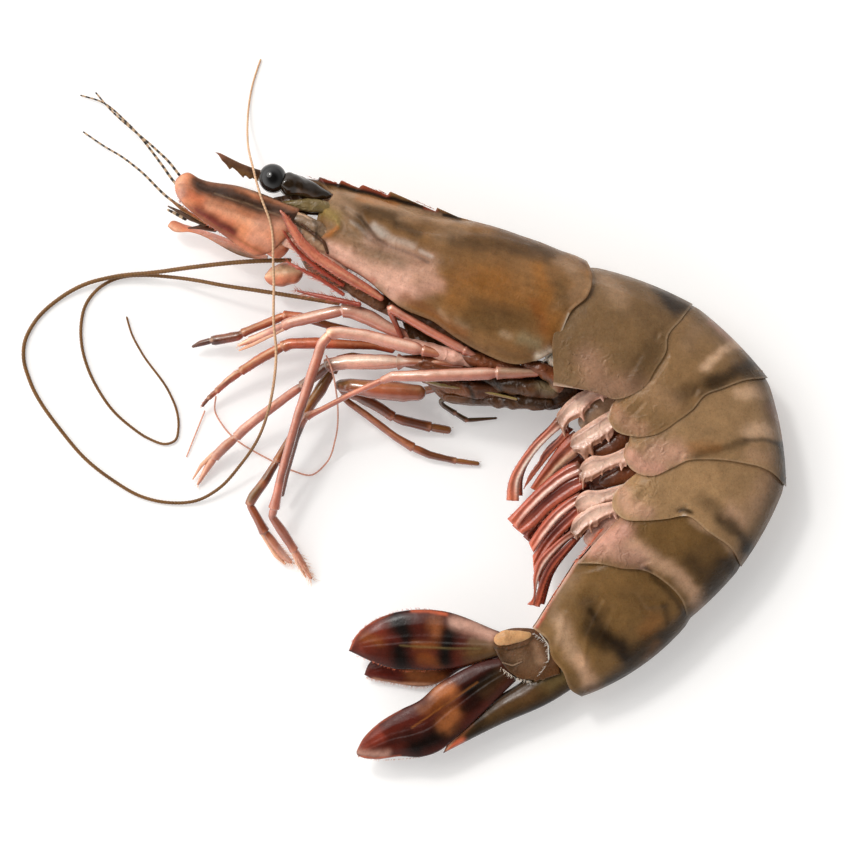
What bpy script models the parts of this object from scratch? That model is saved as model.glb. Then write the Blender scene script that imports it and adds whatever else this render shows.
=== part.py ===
"""Raw tiger prawn, whole, with its head and shell, lying on its right side.

The head points to -X, the back runs along +Y and curls round +X to the tail at -Y.  The left
side is up (+Z) and the right side rests on the floor at Z = 0.  All numbers are millimetres
until a mesh is made.  Routes and outlines lie in XY, the plane that halves the animal.
"""

import math

import bmesh
import bpy
import numpy as np
from mathutils import Vector

MM = 0.001

# --- driving sizes ---------------------------------------------------------------------
JOINT_GAP = 0.35           # between two shell rings, or a limb and what carries it
RIM_STEP = 0.45            # how far a ring tucks in under the rim of the ring before it
HEAD_MIDDLE = 10.2         # height of the mirror plane over the floor, at the head
LIMB_SIDES = 8
EYE_RADIUS = 2.6
EYE_HEIGHTS = (14.4, 6.0)  # left and right eyeball centres
TOOTH_LENGTH = 3.1
TOOTH_RISE = 1.7
TOOTH_RADIUS = 0.7
RING_STATIONS = (0.0, 0.08, 0.3, 0.55, 0.8, 0.94, 1.0)

# Half width of the body along a rib: share of the rib from back to belly, share of the width.
RIB_PROFILE = ((0, 0), (0.05, 0.36), (0.18, 0.71), (0.4, 0.96), (0.62, 1.0), (0.85, 0.88), (1, 0.64))
RIB_SAMPLES = 11

# Head shield: point on the back, point on the lower margin, half width.
CARAPACE_RIBS = (
    ((-34.1, 46.1), (-33.9, 45.8), 0.15),
    ((-31.3, 45.0), (-31.1, 43.2), 0.6),
    ((-28.6, 43.8), (-28.8, 41.8), 0.8),
    ((-26.1, 43.0), (-26.3, 41.0), 0.9),
    ((-22.3, 42.3), (-22.3, 40.7), 1.0),
    ((-18.7, 41.9), (-18.5, 40.3), 1.1),
    ((-15.1, 41.2), (-14.8, 39.6), 1.5),
    ((-11.9, 40.5), (-13.1, 37.1), 3.0),
    ((-10.4, 40.2), (-15.3, 34.9), 4.2),
    ((-8.3, 39.8), (-15.8, 31.7), 5.2),
    ((-5.8, 39.1), (-15.5, 29.0), 6.0),
    ((-2.9, 38.3), (-11.5, 26.1), 7.0),
    ((0.4, 37.4), (-6.5, 23.0), 7.9),
    ((3.6, 36.3), (-2.9, 20.0), 8.6),
    ((6.8, 35.3), (0.0, 17.8), 9.1),
    ((10.4, 34.2), (5.0, 15.7), 9.6),
    ((14.8, 33.0), (9.7, 12.4), 10.1),
    ((19.4, 31.7), (15.1, 9.4), 10.4),
    ((24.5, 29.9), (20.0, 7.9), 10.6),
    ((28.4, 28.3), (23.8, 8.5), 10.5),
)
CARAPACE_REAR = ((32.9, 26.5), (33.8, 23.0), (32.9, 19.8), (30.1, 17.3), (28.1, 13.1), (26.8, 10.3))
CARAPACE_REAR_HALF_WIDTH = 10.5
BACK_TEETH = ((-15.2, 41.6), (-11.3, 41.1), (-7.7, 40.4), (-2.5, 39.0), (5.8, 36.2))
THROAT_TEETH = ((-31.3, 42.9), (-28.9, 41.5))

# Front rim of the first tail ring, then the rear rim of each ring, from back to belly.
FIRST_RIM = ((33.5, 26.3), (34.4, 23.0), (33.5, 19.6), (30.8, 17.1), (28.6, 13.0), (27.9, 8.3), (27.5, 4.0))
REAR_RIMS = (
    ((52.0, 18.7), (49.7, 15.8), (47.3, 12.8), (47.0, 10.3), (44.8, 6.5), (43.6, 4.3),
     (40.7, 2.3), (37.4, 1.6), (34.9, 2.9)),
    ((65.5, 5.4), (61.4, 5.0), (56.9, 3.4), (53.8, 2.2), (51.8, -0.2), (49.0, -2.3),
     (45.2, -4.7), (41.2, -5.1), (37.8, -4.0), (36.4, -1.6)),
    ((68.8, -14.2), (65.9, -11.5), (59.9, -9.7), (54.0, -9.2), (50.9, -9.4), (47.9, -10.8),
     (44.3, -12.2), (41.2, -11.3), (39.4, -8.5), (39.8, -6.5)),
    ((60.7, -28.6), (58.9, -25.4), (54.7, -22.3), (50.8, -19.4), (47.0, -19.9), (43.0, -20.2),
     (39.2, -19.8), (37.4, -17.8), (37.6, -15.3)),
    ((51.1, -38.2), (49.9, -34.6), (46.8, -31.3), (43.2, -29.2), (39.2, -28.8), (35.3, -28.0),
     (31.1, -27.9)),
    ((32.0, -52.0), (30.1, -50.8), (28.6, -47.5), (26.5, -44.6), (25.9, -41.9), (23.2, -39.6)),
)
# Share of the rim that the next ring follows, and where its own front rim then ends.
SHARED_RIM = (0.82, 0.84, 0.82, 0.85, 1.0)
FLAP_CORNERS = ((37.4, 0.7), (40.6, -5.9), (40.6, -12.6), (37.4, -20.8), (31.1, -28.3))
# Half widths of each tail ring at its front and rear, mirror plane heights, swell of the back.
RING_HALF_WIDTHS = ((10.2, 10.6), (10.3, 10.7), (10.3, 10.5), (10.0, 9.9), (9.5, 9.1), (8.7, 6.2))
RING_MIDDLES = ((10.2, 10.2), (10.2, 10.2), (10.2, 9.9), (9.9, 9.3), (9.3, 8.6), (8.6, 7.4))
BACK_SWELLS = (0.9, 0.8, 1.0, 0.7, 0.5, 2.0)

# Mouth region under the front of the shield, and the breast that carries the legs.
FACE_RIBS = (
    ((-17.8, 36.9), (-20.0, 35.1), 2.4),
    ((-17.1, 33.5), (-19.6, 32.4), 3.1),
    ((-16.5, 29.7), (-19.1, 28.4), 3.7),
    ((-14.6, 26.6), (-17.6, 25.0), 3.8),
    ((-9.9, 23.9), (-12.6, 21.6), 3.6),
    ((-6.1, 21.2), (-7.6, 19.8), 3.4),
    ((-3.7, 19.4), (-3.6, 17.9), 3.2),
)
BREAST_RIBS = (
    ((-1.2, 18.1), (0.4, 13.3), 2.4),
    ((1.1, 16.5), (1.8, 8.6), 3.0),
    ((5.2, 14.5), (6.1, 2.2), 3.3),
    ((10.2, 11.3), (11.0, 0.5), 3.4),
    ((15.4, 8.3), (15.8, 0.5), 3.4),
    ((20.0, 7.3), (20.3, 0.7), 3.4),
    ((23.5, 7.8), (23.8, 0.2), 3.3),
    ((25.5, 8.4), (25.7, -0.2), 3.0),
)
BREAST_MIDDLE = 9.9

# Walking legs and third jaw legs, tip to root: x, y, height, radius.
LEGS = {
    "walking_leg_01": (
        (-30.1, 11.2, 5, 0.2), (-27.7, 12.2, 5.6, 0.65), (-24.5, 13.5, 7.4, 0.75),
        (-21.6, 14.8, 9.2, 0.8), (-20.7, 15.3, 9.7, 0.95), (-15.5, 16.6, 11, 1.1),
        (-11, 17.6, 11.8, 1.1), (-9.5, 17.5, 12, 1.3), (-6.1, 16.2, 12, 1.4), (-2.9, 14.4, 11.9, 1.1)),
    "walking_leg_02": (
        (-37.4, -14, 0.6, 0.2), (-35.8, -11.2, 1.6, 0.6), (-34.2, -8.8, 2.6, 0.8),
        (-32.2, -6.8, 3.8, 0.95), (-30.2, -5.2, 4.9, 0.75), (-29.2, -4.1, 5.4, 0.9),
        (-26.6, -2, 6.6, 0.9), (-22.3, 1.3, 8.5, 0.85), (-18.4, 4, 10.2, 0.8), (-16.2, 5.8, 11, 1.05),
        (-13.7, 7.6, 11.8, 1.15), (-10.4, 8.3, 12.2, 1.3), (-5.8, 8.3, 12.6, 1.4),
        (-0.9, 8.3, 13.2, 1.3), (0, 8.3, 13.7, 0.8), (6.5, 8.1, 14.5, 0.6), (10.8, 7.6, 14.5, 0.5)),
    "walking_leg_03": (
        (-16.7, -31, 0.8, 0.25), (-18.2, -28.4, 1.8, 0.65), (-19.8, -25.7, 3, 0.7),
        (-21.8, -22.5, 4.6, 0.9), (-23.8, -19.6, 6, 0.7), (-23.4, -18, 6.9, 0.9),
        (-22.1, -12.1, 9.2, 0.75), (-20.3, -5.8, 11.3, 0.8), (-19.3, -2.2, 12.6, 0.85),
        (-16.6, 5.9, 15, 0.95), (-14.8, 11.5, 16.2, 0.9), (-13.3, 13.3, 16.6, 1),
        (-11.5, 13.6, 16.6, 1.05), (-6.8, 13, 16.2, 1.1), (-1.4, 11.7, 15.8, 1.25),
        (2.3, 10.6, 15.5, 1.25), (3.4, 10.3, 15.4, 0.9), (8.6, 9.2, 15.2, 0.7)),
    "walking_leg_04": (
        (-22.1, -16, 3.6, 0.4), (-20.9, -10.8, 6, 0.5), (-19.3, -5.2, 9, 0.55),
        (-18.2, -2.5, 10.4, 0.65), (-17.5, -1.5, 10.8, 0.7), (-15.1, -0.4, 11.5, 0.5),
        (-9.7, 2.4, 13.5, 0.5), (-3.8, 5, 15.6, 0.6), (-2, 5.7, 16.2, 0.9), (4.7, 5.8, 16.9, 1.1),
        (11.9, 6.1, 17, 1.15), (15.3, 6.2, 16.9, 1.2), (16.6, 6.3, 16.8, 1.05),
        (20.2, 6.3, 16.4, 1), (24.5, 6.3, 15.6, 0.7)),
    "walking_leg_05": (
        (0.3, 11.3, 12.2, 0.4), (-0.4, 12.6, 12.8, 0.45), (-1.4, 14.8, 14.4, 0.5),
        (-2.3, 16.9, 15.8, 0.55), (-2.5, 17.9, 16.3, 0.75), (-1.1, 17.1, 16.4, 0.85),
        (4.7, 13.7, 16.4, 0.8), (10.8, 10.4, 16.2, 0.8), (11.9, 9.8, 16.0, 0.6), (15.6, 7.6, 15.2, 0.45)),
    "walking_leg_06": (
        (-20.2, -28.1, 0.9, 0.3), (-22, -26.5, 1.5, 0.8), (-24.1, -23.9, 2.4, 0.8),
        (-25.2, -22.3, 2.9, 0.85), (-27, -19.1, 4.1, 0.85), (-27.9, -17.3, 4.6, 0.75),
        (-27.2, -16, 5, 0.95), (-25.2, -13.3, 5.8, 0.85), (-22.9, -9.5, 6.4, 0.7),
        (-19.6, -4, 7.5, 0.75), (-17.3, 0, 8.3, 1), (-15.1, 3.2, 9.1, 1.1), (-13.1, 6.7, 9.3, 0.95),
        (-11.9, 8.5, 9.4, 1), (-9.4, 9, 9.5, 1), (-1.1, 8.3, 9.8, 0.8)),
    "walking_leg_07": (
        (8.6, -4.1, 1.1, 0.7), (4.7, -3.4, 1.6, 0.85), (0, -2.3, 3, 0.9), (-2, -1.6, 3.6, 0.8),
        (-4.3, 0, 4.3, 0.95), (-8.3, 2.2, 5.3, 1), (-10.6, 2.9, 6, 0.9), (-11.5, 4.1, 7.2, 0.9),
        (-9.7, 4, 8.4, 1.3), (-5.8, 3.4, 9, 1.7), (-0.7, 2.9, 9.2, 1.8), (4, 2.7, 9.4, 1.3)),
    "walking_leg_08": (
        (13.7, -10.1, 0.7, 0.4), (9.2, -9.5, 1, 0.55), (4.7, -8.5, 1.4, 0.7), (1.6, -7.1, 1.8, 0.75),
        (-1.6, -5.2, 2.2, 0.7), (-7, -1.1, 2.8, 0.65), (-10.1, 1.1, 2.9, 0.6), (-11, 2, 2.9, 0.6),
        (-9.7, 2.6, 2.6, 0.7), (-2.5, 2.6, 1.7, 0.8), (3, 3, 3.2, 0.8), (7.5, 4, 5.3, 0.6)),
    "walking_leg_09": (
        (16.9, -1.8, 1, 0.2), (13.7, -2, 1.6, 0.35), (11.3, -2.2, 2.2, 0.45), (9.2, -0.9, 2.8, 0.45),
        (7, 0.5, 3.4, 0.45), (6.5, 1.3, 3.8, 0.4), (7.7, 1.8, 4.2, 0.5), (11.9, 2.2, 4.8, 0.5)),
    "walking_leg_10": (
        (20.5, 1.5, 14.4, 0.25), (13.7, 3.1, 14.5, 0.35), (6.5, 4.1, 14.5, 0.4), (3.6, 4.9, 14, 0.35)),
    "jaw_leg_L": (
        (-36.6, 0.2, 2.2, 0.25), (-35.3, 1.8, 2.8, 0.4), (-33.8, 3.1, 3.4, 0.5), (-31.7, 5, 4.4, 0.65),
        (-29.3, 6.7, 5.2, 0.75), (-25.4, 9.2, 6.7, 0.9), (-21.8, 11.1, 7.8, 0.9),
        (-20.5, 11.6, 8.1, 0.95), (-15.8, 11.7, 8.4, 1.05), (-10.6, 11.5, 8.5, 0.95),
        (-5.4, 11.2, 8.6, 0.7), (-1.6, 10.3, 8.8, 0.6)),
    "jaw_leg_R": (
        (-38.4, 11, 2.6, 0.2), (-36.7, 11.7, 3, 0.55), (-34.7, 12.2, 3.4, 0.6), (-34.2, 12.2, 3.5, 0.85),
        (-29.9, 13, 4.4, 0.9), (-29, 13.6, 4.6, 0.7), (-25.6, 15.1, 5.6, 0.8), (-21.6, 16.6, 6.8, 0.85),
        (-18.7, 16.5, 7.2, 0.8), (-14.2, 15.1, 7.5, 0.7), (-10.1, 14.2, 7.6, 0.6), (-5.8, 13, 7.8, 0.6)),
}

# Flat pieces along a spine, tip to root: x, y, height, half width, half thickness.
SCALES = {
    "antennal_scale_L": (
        (-41, 39.2, 14.2, 0.9, 0.2), (-39.6, 39.1, 14.5, 2.6, 0.28), (-36.7, 37.8, 14.8, 3.3, 0.3),
        (-33.1, 36.2, 14.9, 4.1, 0.32), (-28.4, 34, 14.9, 4.7, 0.34), (-24.8, 33.1, 14.9, 4.4, 0.34),
        (-21.6, 33.5, 14.9, 2.4, 0.3), (-20.2, 33.8, 14.9, 1.2, 0.25)),
    "antennal_scale_R": (
        (-42.5, 32.9, 3.6, 0.7, 0.25), (-40.3, 32.6, 4.3, 2, 0.3), (-36.7, 31.3, 5, 2.9, 0.3),
        (-31.3, 29.3, 5.0, 2.8, 0.35), (-27.0, 27.5, 4.8, 1.7, 0.35), (-25.6, 27.1, 4.8, 0.9, 0.3)),
}
SCALE_TILTS = {"antennal_scale_L": 0.0, "antennal_scale_R": 68.0}
MOUTH_PARTS = {
    "mouth_palp": (
        (-22.3, 35.6, 16.3, 0.12, 0.1), (-21.4, 34.4, 16.4, 0.45, 0.3), (-20.2, 32.4, 16.4, 0.8, 0.4),
        (-18.4, 29.7, 16.4, 0.9, 0.45), (-15.8, 27.2, 16.3, 0.95, 0.5), (-11.5, 24.3, 16.2, 0.95, 0.5),
        (-6.8, 21.5, 16, 0.85, 0.5), (-3.6, 19.4, 15.8, 0.5, 0.4)),
    "mouth_lash": (
        (-21.6, 31.9, 15.8, 0.12, 0.12), (-20.2, 29.5, 15.4, 0.3, 0.3), (-18.2, 27.2, 15, 0.38, 0.35),
        (-15.1, 24.7, 14.9, 0.4, 0.35), (-10.6, 21.8, 14.8, 0.35, 0.3)),
    "mouth_brush_1": (
        (-19.4, 21.1, 12.6, 0.15, 0.12), (-15.5, 20.2, 13.2, 0.4, 0.3), (-11.5, 19.3, 13.9, 0.5, 0.35),
        (-7.6, 18.5, 14.4, 0.4, 0.3)),
    "mouth_brush_2": (
        (-21.2, 26.4, 13.0, 0.12, 0.12), (-19.1, 25.2, 14.7, 0.3, 0.3), (-15.1, 23.2, 14.8, 0.35, 0.3),
        (-10.6, 20.2, 14.9, 0.35, 0.3)),
}
TAIL_FAN = {
    "tail_blade_outer_L": (
        (-9.7, -43.9, 5.2, 0.4, 0.15), (-8.3, -42.8, 5.8, 1.6, 0.25), (-6.1, -41.9, 6.3, 3.1, 0.3),
        (-2.5, -41.6, 6.9, 4.6, 0.35), (4.1, -41.4, 7.5, 5.2, 0.4), (9.2, -41.9, 7.9, 4.5, 0.45),
        (13.7, -42.1, 8.2, 3.1, 0.5), (17.3, -42, 8.3, 1.6, 0.5)),
    "tail_blade_outer_R": (
        (-7.2, -48.1, 1.2, 0.4, 0.15), (-5, -47.2, 1.5, 1.9, 0.25), (-0.7, -45.9, 1.9, 3.6, 0.3),
        (4.7, -45.2, 2.2, 4.3, 0.35), (10.1, -44.6, 2.4, 3.9, 0.4), (15.1, -44.3, 2.5, 2.4, 0.4),
        (18, -43.9, 2.6, 1.2, 0.4)),
    "tail_blade_inner_L": (
        (-8.5, -62.5, 6, 0.4, 0.15), (-7.2, -61.7, 6.4, 1.5, 0.25), (-5, -60.8, 6.9, 2.8, 0.3),
        (0.7, -58.3, 7.8, 4.5, 0.35), (8.3, -54.2, 8.7, 4.8, 0.4), (13.7, -50.4, 9.2, 3.8, 0.45),
        (16.9, -47.5, 9.5, 2.4, 0.5), (18.5, -46.1, 9.6, 1.2, 0.5)),
    "tail_blade_inner_R": (
        (-6.8, -62.3, 2.4, 0.4, 0.15), (-3.6, -60.8, 2.6, 2.6, 0.25), (1.4, -58.5, 2.9, 4.1, 0.3),
        (8.3, -54.5, 3.6, 4.4, 0.35), (13.7, -50.8, 4.1, 3.4, 0.4), (17.6, -47.9, 4.4, 1.6, 0.4)),
    "tail_spike": (
        (7, -61.9, 5.8, 0.2, 0.2), (10.1, -59.8, 6, 0.9, 0.5), (14, -56.5, 6.3, 2, 0.9),
        (20.5, -52, 6.8, 2.9, 1.2), (24.5, -49.7, 7, 3.1, 1.3), (27, -48.8, 7.1, 2.7, 1.3)),
    "tail_joint_L": (
        (24.4, -44.3, 10.6, 2.4, 1.1), (22.7, -44.1, 10.7, 2.8, 1.1), (20.2, -44.1, 10.7, 2.6, 1),
        (18.9, -44.4, 10.7, 2, 0.7)),
    "tail_joint_R": (
        (24.4, -44.2, 4.6, 2.4, 1), (22.3, -44, 4.6, 2.7, 1), (19.4, -44.6, 4.5, 2, 0.7)),
}

# Left swimming legs, root to tip: stalk first, then the blade.
SWIMMING_LEGS = (
    ((33.3, 1.4, 13.6, 1.5, 1.3), (30.6, 0.6, 13.4, 1.9, 1.3), (28.3, -0.5, 13, 1.5, 1),
     (26.8, -2.2, 12.6, 1.3, 0.5), (25, -4.9, 12.2, 1.45, 0.35), (22.7, -7.9, 11.6, 1.6, 0.3),
     (20.5, -11.9, 10.8, 1.45, 0.25), (19.6, -14.8, 10.2, 1.3, 0.2), (19.6, -16.7, 9.8, 1.1, 0.15)),
    ((35.6, -2.5, 12.2, 1.3, 1.2), (33.7, -4.1, 12, 1.9, 1.2), (31.7, -5.8, 11.8, 1.5, 0.8),
     (29.9, -7.7, 11.4, 1.6, 0.45), (27.4, -10.3, 11, 1.9, 0.3), (24.7, -13.1, 10.4, 1.7, 0.25),
     (22.3, -15.8, 9.8, 0.9, 0.2)),
    ((38.3, -9.2, 13.6, 1.4, 1.2), (36, -9.7, 13.4, 1.8, 1.2), (33.5, -10.3, 13.2, 1.5, 0.8),
     (31.3, -11.5, 13, 1.6, 0.5), (28.1, -14, 12.7, 2.1, 0.35), (24.5, -17.1, 12.4, 2, 0.3),
     (21.6, -19.8, 12.1, 1.6, 0.25), (19.8, -21.4, 11.9, 0.8, 0.2)),
    ((36.7, -15.7, 12.4, 1.1, 1.1), (35.1, -16.2, 12.2, 1.5, 1.1), (33.3, -16.9, 11.8, 1.3, 0.7),
     (31.3, -18.2, 11.4, 1.4, 0.45), (28.3, -20.9, 11, 1.8, 0.35), (25.4, -23.9, 10.6, 1.7, 0.3),
     (23.8, -27, 10.2, 1.2, 0.2), (23.2, -29.2, 9.9, 0.7, 0.15)),
    ((34.4, -20.7, 13.8, 1, 1), (32.8, -21.6, 13.6, 1.3, 1), (30.8, -22.9, 13.2, 1.2, 0.6),
     (29, -24.7, 12.8, 1.4, 0.4), (26.6, -27.7, 12.2, 1.4, 0.3), (24.8, -31.3, 11.4, 1.2, 0.25),
     (23.4, -35.3, 10.6, 1, 0.2)),
)
RIGHT_LEG_SHIFT = (1.0, 0.6)      # right swimming legs lie a little nearer the belly
RIGHT_LEG_DROOP = 3.2             # and hang this much lower at their tips

# Feelers and threads: x, y, height; root and tip radius, points along the tube.
FEELERS = {
    "feeler_long_L": ((
        (-20.2, 26.6, 9), (-25.9, 26.5, 8.4), (-29.5, 26.3, 7.6), (-37.4, 25.5, 5.6), (-45, 24.5, 3.2),
        (-52.6, 23.7, 1.6), (-57.6, 22.4, 1.2), (-62.6, 19.6, 0.5), (-66.7, 15.7, 0.45),
        (-68.7, 11.5, 0.45), (-68.8, 9, 0.45), (-67.7, 5, 0.45), (-65.2, 0.9, 0.45), (-61.6, -4.6, 0.45),
        (-57.6, -9.2, 0.45), (-52.6, -13.1, 0.45), (-47.5, -16, 0.45), (-42.5, -17.1, 0.5),
        (-37.4, -16.7, 0.9), (-33.3, -14.4, 2), (-29.8, -10.6, 4.2), (-27.3, -6.7, 7.2),
        (-25.6, -4, 9.2), (-24.3, 0, 10.5), (-23.4, 4.7, 10.9), (-23, 10.4, 11.3), (-23.4, 14.8, 11.9),
        (-23.4, 19.4, 12.6), (-23.4, 23, 13.4), (-23.5, 27, 15.2), (-23.6, 31.1, 16),
        (-23.9, 32.9, 16.2), (-24.8, 35.3, 16.3), (-25.7, 38, 16.2), (-26.5, 40.7, 15),
        (-27.2, 43.4, 12.9), (-27.7, 45.9, 9), (-28.2, 48.2, 5.2), (-28.3, 50.9, 2.2),
        (-28.1, 54.5, 0.6), (-27.4, 58.5, 0.3), (-25.9, 63.2, 0.3)), 0.42, 0.17, 78),
    "feeler_long_R": ((
        (-11.5, 18.8, 9.2), (-15.1, 19.3, 8.7), (-18.7, 20, 8.2), (-22.3, 20.6, 7.6), (-25.9, 21.1, 7),
        (-33.1, 22.2, 5.4), (-36.7, 22.9, 4.5), (-42.5, 23.7, 2.4), (-47.5, 24, 0.9),
        (-49.7, 23.9, 0.5), (-52.6, 23.2, 0.45), (-55.5, 21.4, 0.4), (-57.6, 18.6, 0.4),
        (-58.4, 15.1, 0.4), (-58.3, 11.5, 0.4), (-57.1, 7, 0.4), (-55.1, 3, 0.4), (-52.6, -0.5, 0.4),
        (-49.5, -3.3, 0.4), (-46, -5.6, 0.4), (-42.9, -6.5, 0.4), (-41.4, -5.9, 0.4),
        (-40.8, -3.6, 0.4), (-41.1, -0.5, 0.4), (-42.4, 2.7, 0.4), (-44.5, 6, 0.4),
        (-47.5, 10.1, 0.4), (-49.2, 13.3, 0.4), (-50.2, 16.6, 0.4)), 0.4, 0.18, 60),
    "feeler_short_1": ((
        (-37.4, 38.2, 12.2), (-40.4, 41.9, 11.4), (-42.5, 44.5, 10.4), (-44.5, 46.4, 9.2),
        (-50, 51.5, 5), (-53.5, 54.4, 2.4), (-55.8, 57.1, 0.5)), 0.26, 0.14, 16),
    "feeler_short_2": ((
        (-38.5, 37.6, 11.2), (-41.7, 41.1, 10), (-43.7, 43.9, 8.6), (-46.7, 47.7, 6.2),
        (-50, 51.5, 3.9), (-54.8, 55.4, 1), (-58.6, 56.6, 0.35)), 0.26, 0.14, 16),
    "feeler_short_3": ((
        (-38.9, 35.4, 9.6), (-39.8, 36, 9.2), (-42.4, 37.8, 8.2), (-44.5, 39.9, 7.2),
        (-47.5, 42.7, 5.4), (-51, 45.4, 3.2), (-54, 47.2, 1.4), (-58.1, 50, 0.35)), 0.26, 0.14, 16),
    "feeler_short_4": (((-39.1, 34, 8.8), (-40.7, 34.9, 8.2), (-42.7, 35.8, 7.2)), 0.42, 0.2, 5),
    "leg_thread_1": (((-36, -0.4, 0.6), (-37.3, -3.6, 0.35), (-38.5, -6.3, 0.3), (-39.4, -8.9, 0.3)),
                     0.15, 0.12, 8),
    "leg_thread_2": ((
        (-34, 2.2, 1.6), (-34.2, -0.5, 0.6), (-32.6, -3.4, 0.3), (-29.3, -5.8, 0.3),
        (-23.8, -9.6, 0.3), (-20.2, -11.3, 0.3), (-16.7, -12.1, 0.3), (-14.2, -10.1, 0.8),
        (-12.4, -5.6, 4.2), (-11.9, -0.9, 8.6), (-12.2, 2.9, 11.2), (-12.8, 5.8, 12.9),
        (-13.4, 8.1, 14.4), (-14, 9.5, 14.6)), 0.15, 0.15, 30),
}

# Short feeler stalks and the roots of the long feelers: x, y, height, radius.
STALKS = {
    "feeler_stalk_L": ((-37.0, 37.4, 12.2, 0.5), (-34.0, 37.0, 12.3, 1.0), (-28.5, 36.6, 12.4, 1.1),
                       (-21.4, 35.8, 12.2, 1.0)),
    "feeler_stalk_R": ((-38.6, 34.7, 9.2, 0.5), (-35.5, 34.2, 9.4, 0.8), (-29.0, 33.5, 9.6, 1.1),
                       (-21.4, 33.2, 9.4, 1.0)),
}
FEELER_ROOTS = {
    "feeler_root_L": ((-25.4, 29.3, 12.0, 0.6), (-24.6, 29.2, 12.0, 1.8), (-23.0, 29.2, 12.0, 2.35),
                      (-21.3, 29.4, 12.0, 1.9), (-20.4, 29.5, 12.0, 1.1)),
    "feeler_root_R": ((-25.2, 23.5, 6.6, 0.6), (-24.0, 23.6, 6.6, 1.7), (-21.8, 24.0, 6.8, 2.0),
                      (-19.4, 24.2, 7.2, 1.6), (-18.2, 24.4, 7.4, 0.9)),
}
EYE_CENTRE = (-23.6, 41.3)
EYE_STALK = ((-20.9, 40.4, 1.7), (-18.4, 39.7, 1.4), (-15.8, 38.9, 0.8))

# Colour and roughness of each finish.
FINISHES = {
    "shield_shell": ("7A6445", 0.3), "ring_shell": ("85704F", 0.3), "belly_skin": ("6B4A38", 0.5),
    "limb_pink": ("C98A78", 0.35), "limb_brown": ("8A4A2C", 0.4), "mouth_red": ("9C4034", 0.4),
    "scale_orange": ("D98A66", 0.35), "eye_black": ("17130F", 0.15), "feeler_brown": ("7A5636", 0.45),
    "tail_red": ("5A2418", 0.3), "swimmer_red": ("C0604C", 0.35), "stalk_olive": ("6A5540", 0.4),
}


# --- curves ----------------------------------------------------------------------------
def smooth(points, fractions):
    """Read a smooth curve through the points at the given fractions of its length."""
    values = np.array(points, dtype=float)
    spans = np.linalg.norm(np.diff(values[:, :3], axis=0), axis=1)
    marks = np.concatenate(([0.0], np.cumsum(spans)))
    slopes = np.diff(values, axis=0) / spans[:, None]
    before, after = spans[:-1, None], spans[1:, None]
    inner = (slopes[:-1] * after + slopes[1:] * before) / (before + after)
    tangents = np.vstack((slopes[:1], inner, slopes[-1:]))
    places = np.asarray(fractions, dtype=float) * marks[-1]
    index = np.clip(np.searchsorted(marks, places, side="right") - 1, 0, len(spans) - 1)
    step = spans[index, None]
    part = (places[:, None] - marks[index, None]) / step
    square, cube = part ** 2, part ** 3
    return ((2 * cube - 3 * square + 1) * values[index] + (cube - 2 * square + part) * step * tangents[index]
            + (3 * square - 2 * cube) * values[index + 1] + (cube - square) * step * tangents[index + 1])


def evenly(count):
    """Return count fractions from 0 to 1."""
    return np.linspace(0.0, 1.0, count)


PROFILE = smooth(RIB_PROFILE, evenly(RIB_SAMPLES))


# --- meshes ----------------------------------------------------------------------------
def finish_named(name):
    """Return the material of a finish, made on first use."""
    material = bpy.data.materials.get(name)
    if material is None:
        code, roughness = FINISHES[name]
        material = bpy.data.materials.new(name)
        material.use_nodes = True
        shader = material.node_tree.nodes["Principled BSDF"]
        levels = [int(code[at:at + 2], 16) / 255 for at in (0, 2, 4)]
        linear = [c / 12.92 if c <= 0.04045 else ((c + 0.055) / 1.055) ** 2.4 for c in levels]
        shader.inputs["Base Color"].default_value = (*linear, 1.0)
        shader.inputs["Roughness"].default_value = roughness
        shader.inputs["Metallic"].default_value = 0.0
    return material


def add_object(name, data, finish, collection):
    """Link a mesh or curve as one named part with its finish."""
    data.materials.append(finish_named(finish))
    part = bpy.data.objects.new(name, data)
    collection.objects.link(part)
    return part


def add_skin(name, rings, finish, collection, end_faces):
    """Skin closed rings of points; end_faces gives the faces of an end from its first index."""
    count = len(rings[0])
    points = [Vector(point) * MM for ring in rings for point in ring]
    faces = []
    for first in range(0, len(points) - count, count):
        for at in range(count):
            after = (at + 1) % count
            faces.append((first + at, first + after, first + count + after, first + count + at))
    faces += end_faces(0, count) + end_faces(len(points) - count, count)
    mesh = bpy.data.meshes.new(name)
    mesh.from_pydata(points, [], faces)
    shape = bmesh.new()
    shape.from_mesh(mesh)
    bmesh.ops.recalc_face_normals(shape, faces=shape.faces)
    shape.to_mesh(mesh)
    shape.free()
    mesh.shade_smooth()
    mesh.set_sharp_from_angle(angle=math.radians(40))
    return add_object(name, mesh, finish, collection)


def flat_end(first, count):
    """Close an end with one face."""
    return [tuple(range(first, first + count))]


def ladder_end(first, count):
    """Close a body end with rungs that run straight from the left side to the right."""
    faces = [(first, first + 1, first + count - 1)]
    for at in range(1, count // 2):
        faces.append((first + at, first + at + 1, first + count - at - 1, first + count - at))
    return faces


def body_ring(rib, half_width, middle):
    """Return a closed ring round the body at a rib, flattened where it meets the floor."""
    left = [(x, y, middle + half_width * share) for (x, y), share in zip(rib, PROFILE[:, 1])]
    right = [(x, y, max(middle - half_width * share, 0.0)) for (x, y), share in zip(rib, PROFILE[:, 1])]
    return left + right[:0:-1]


def straight_ribs(table):
    """Turn rows of back point, belly point and half width into sampled ribs and widths."""
    return [(smooth((top, bottom), PROFILE[:, 0]), width) for top, bottom, width in table]


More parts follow.
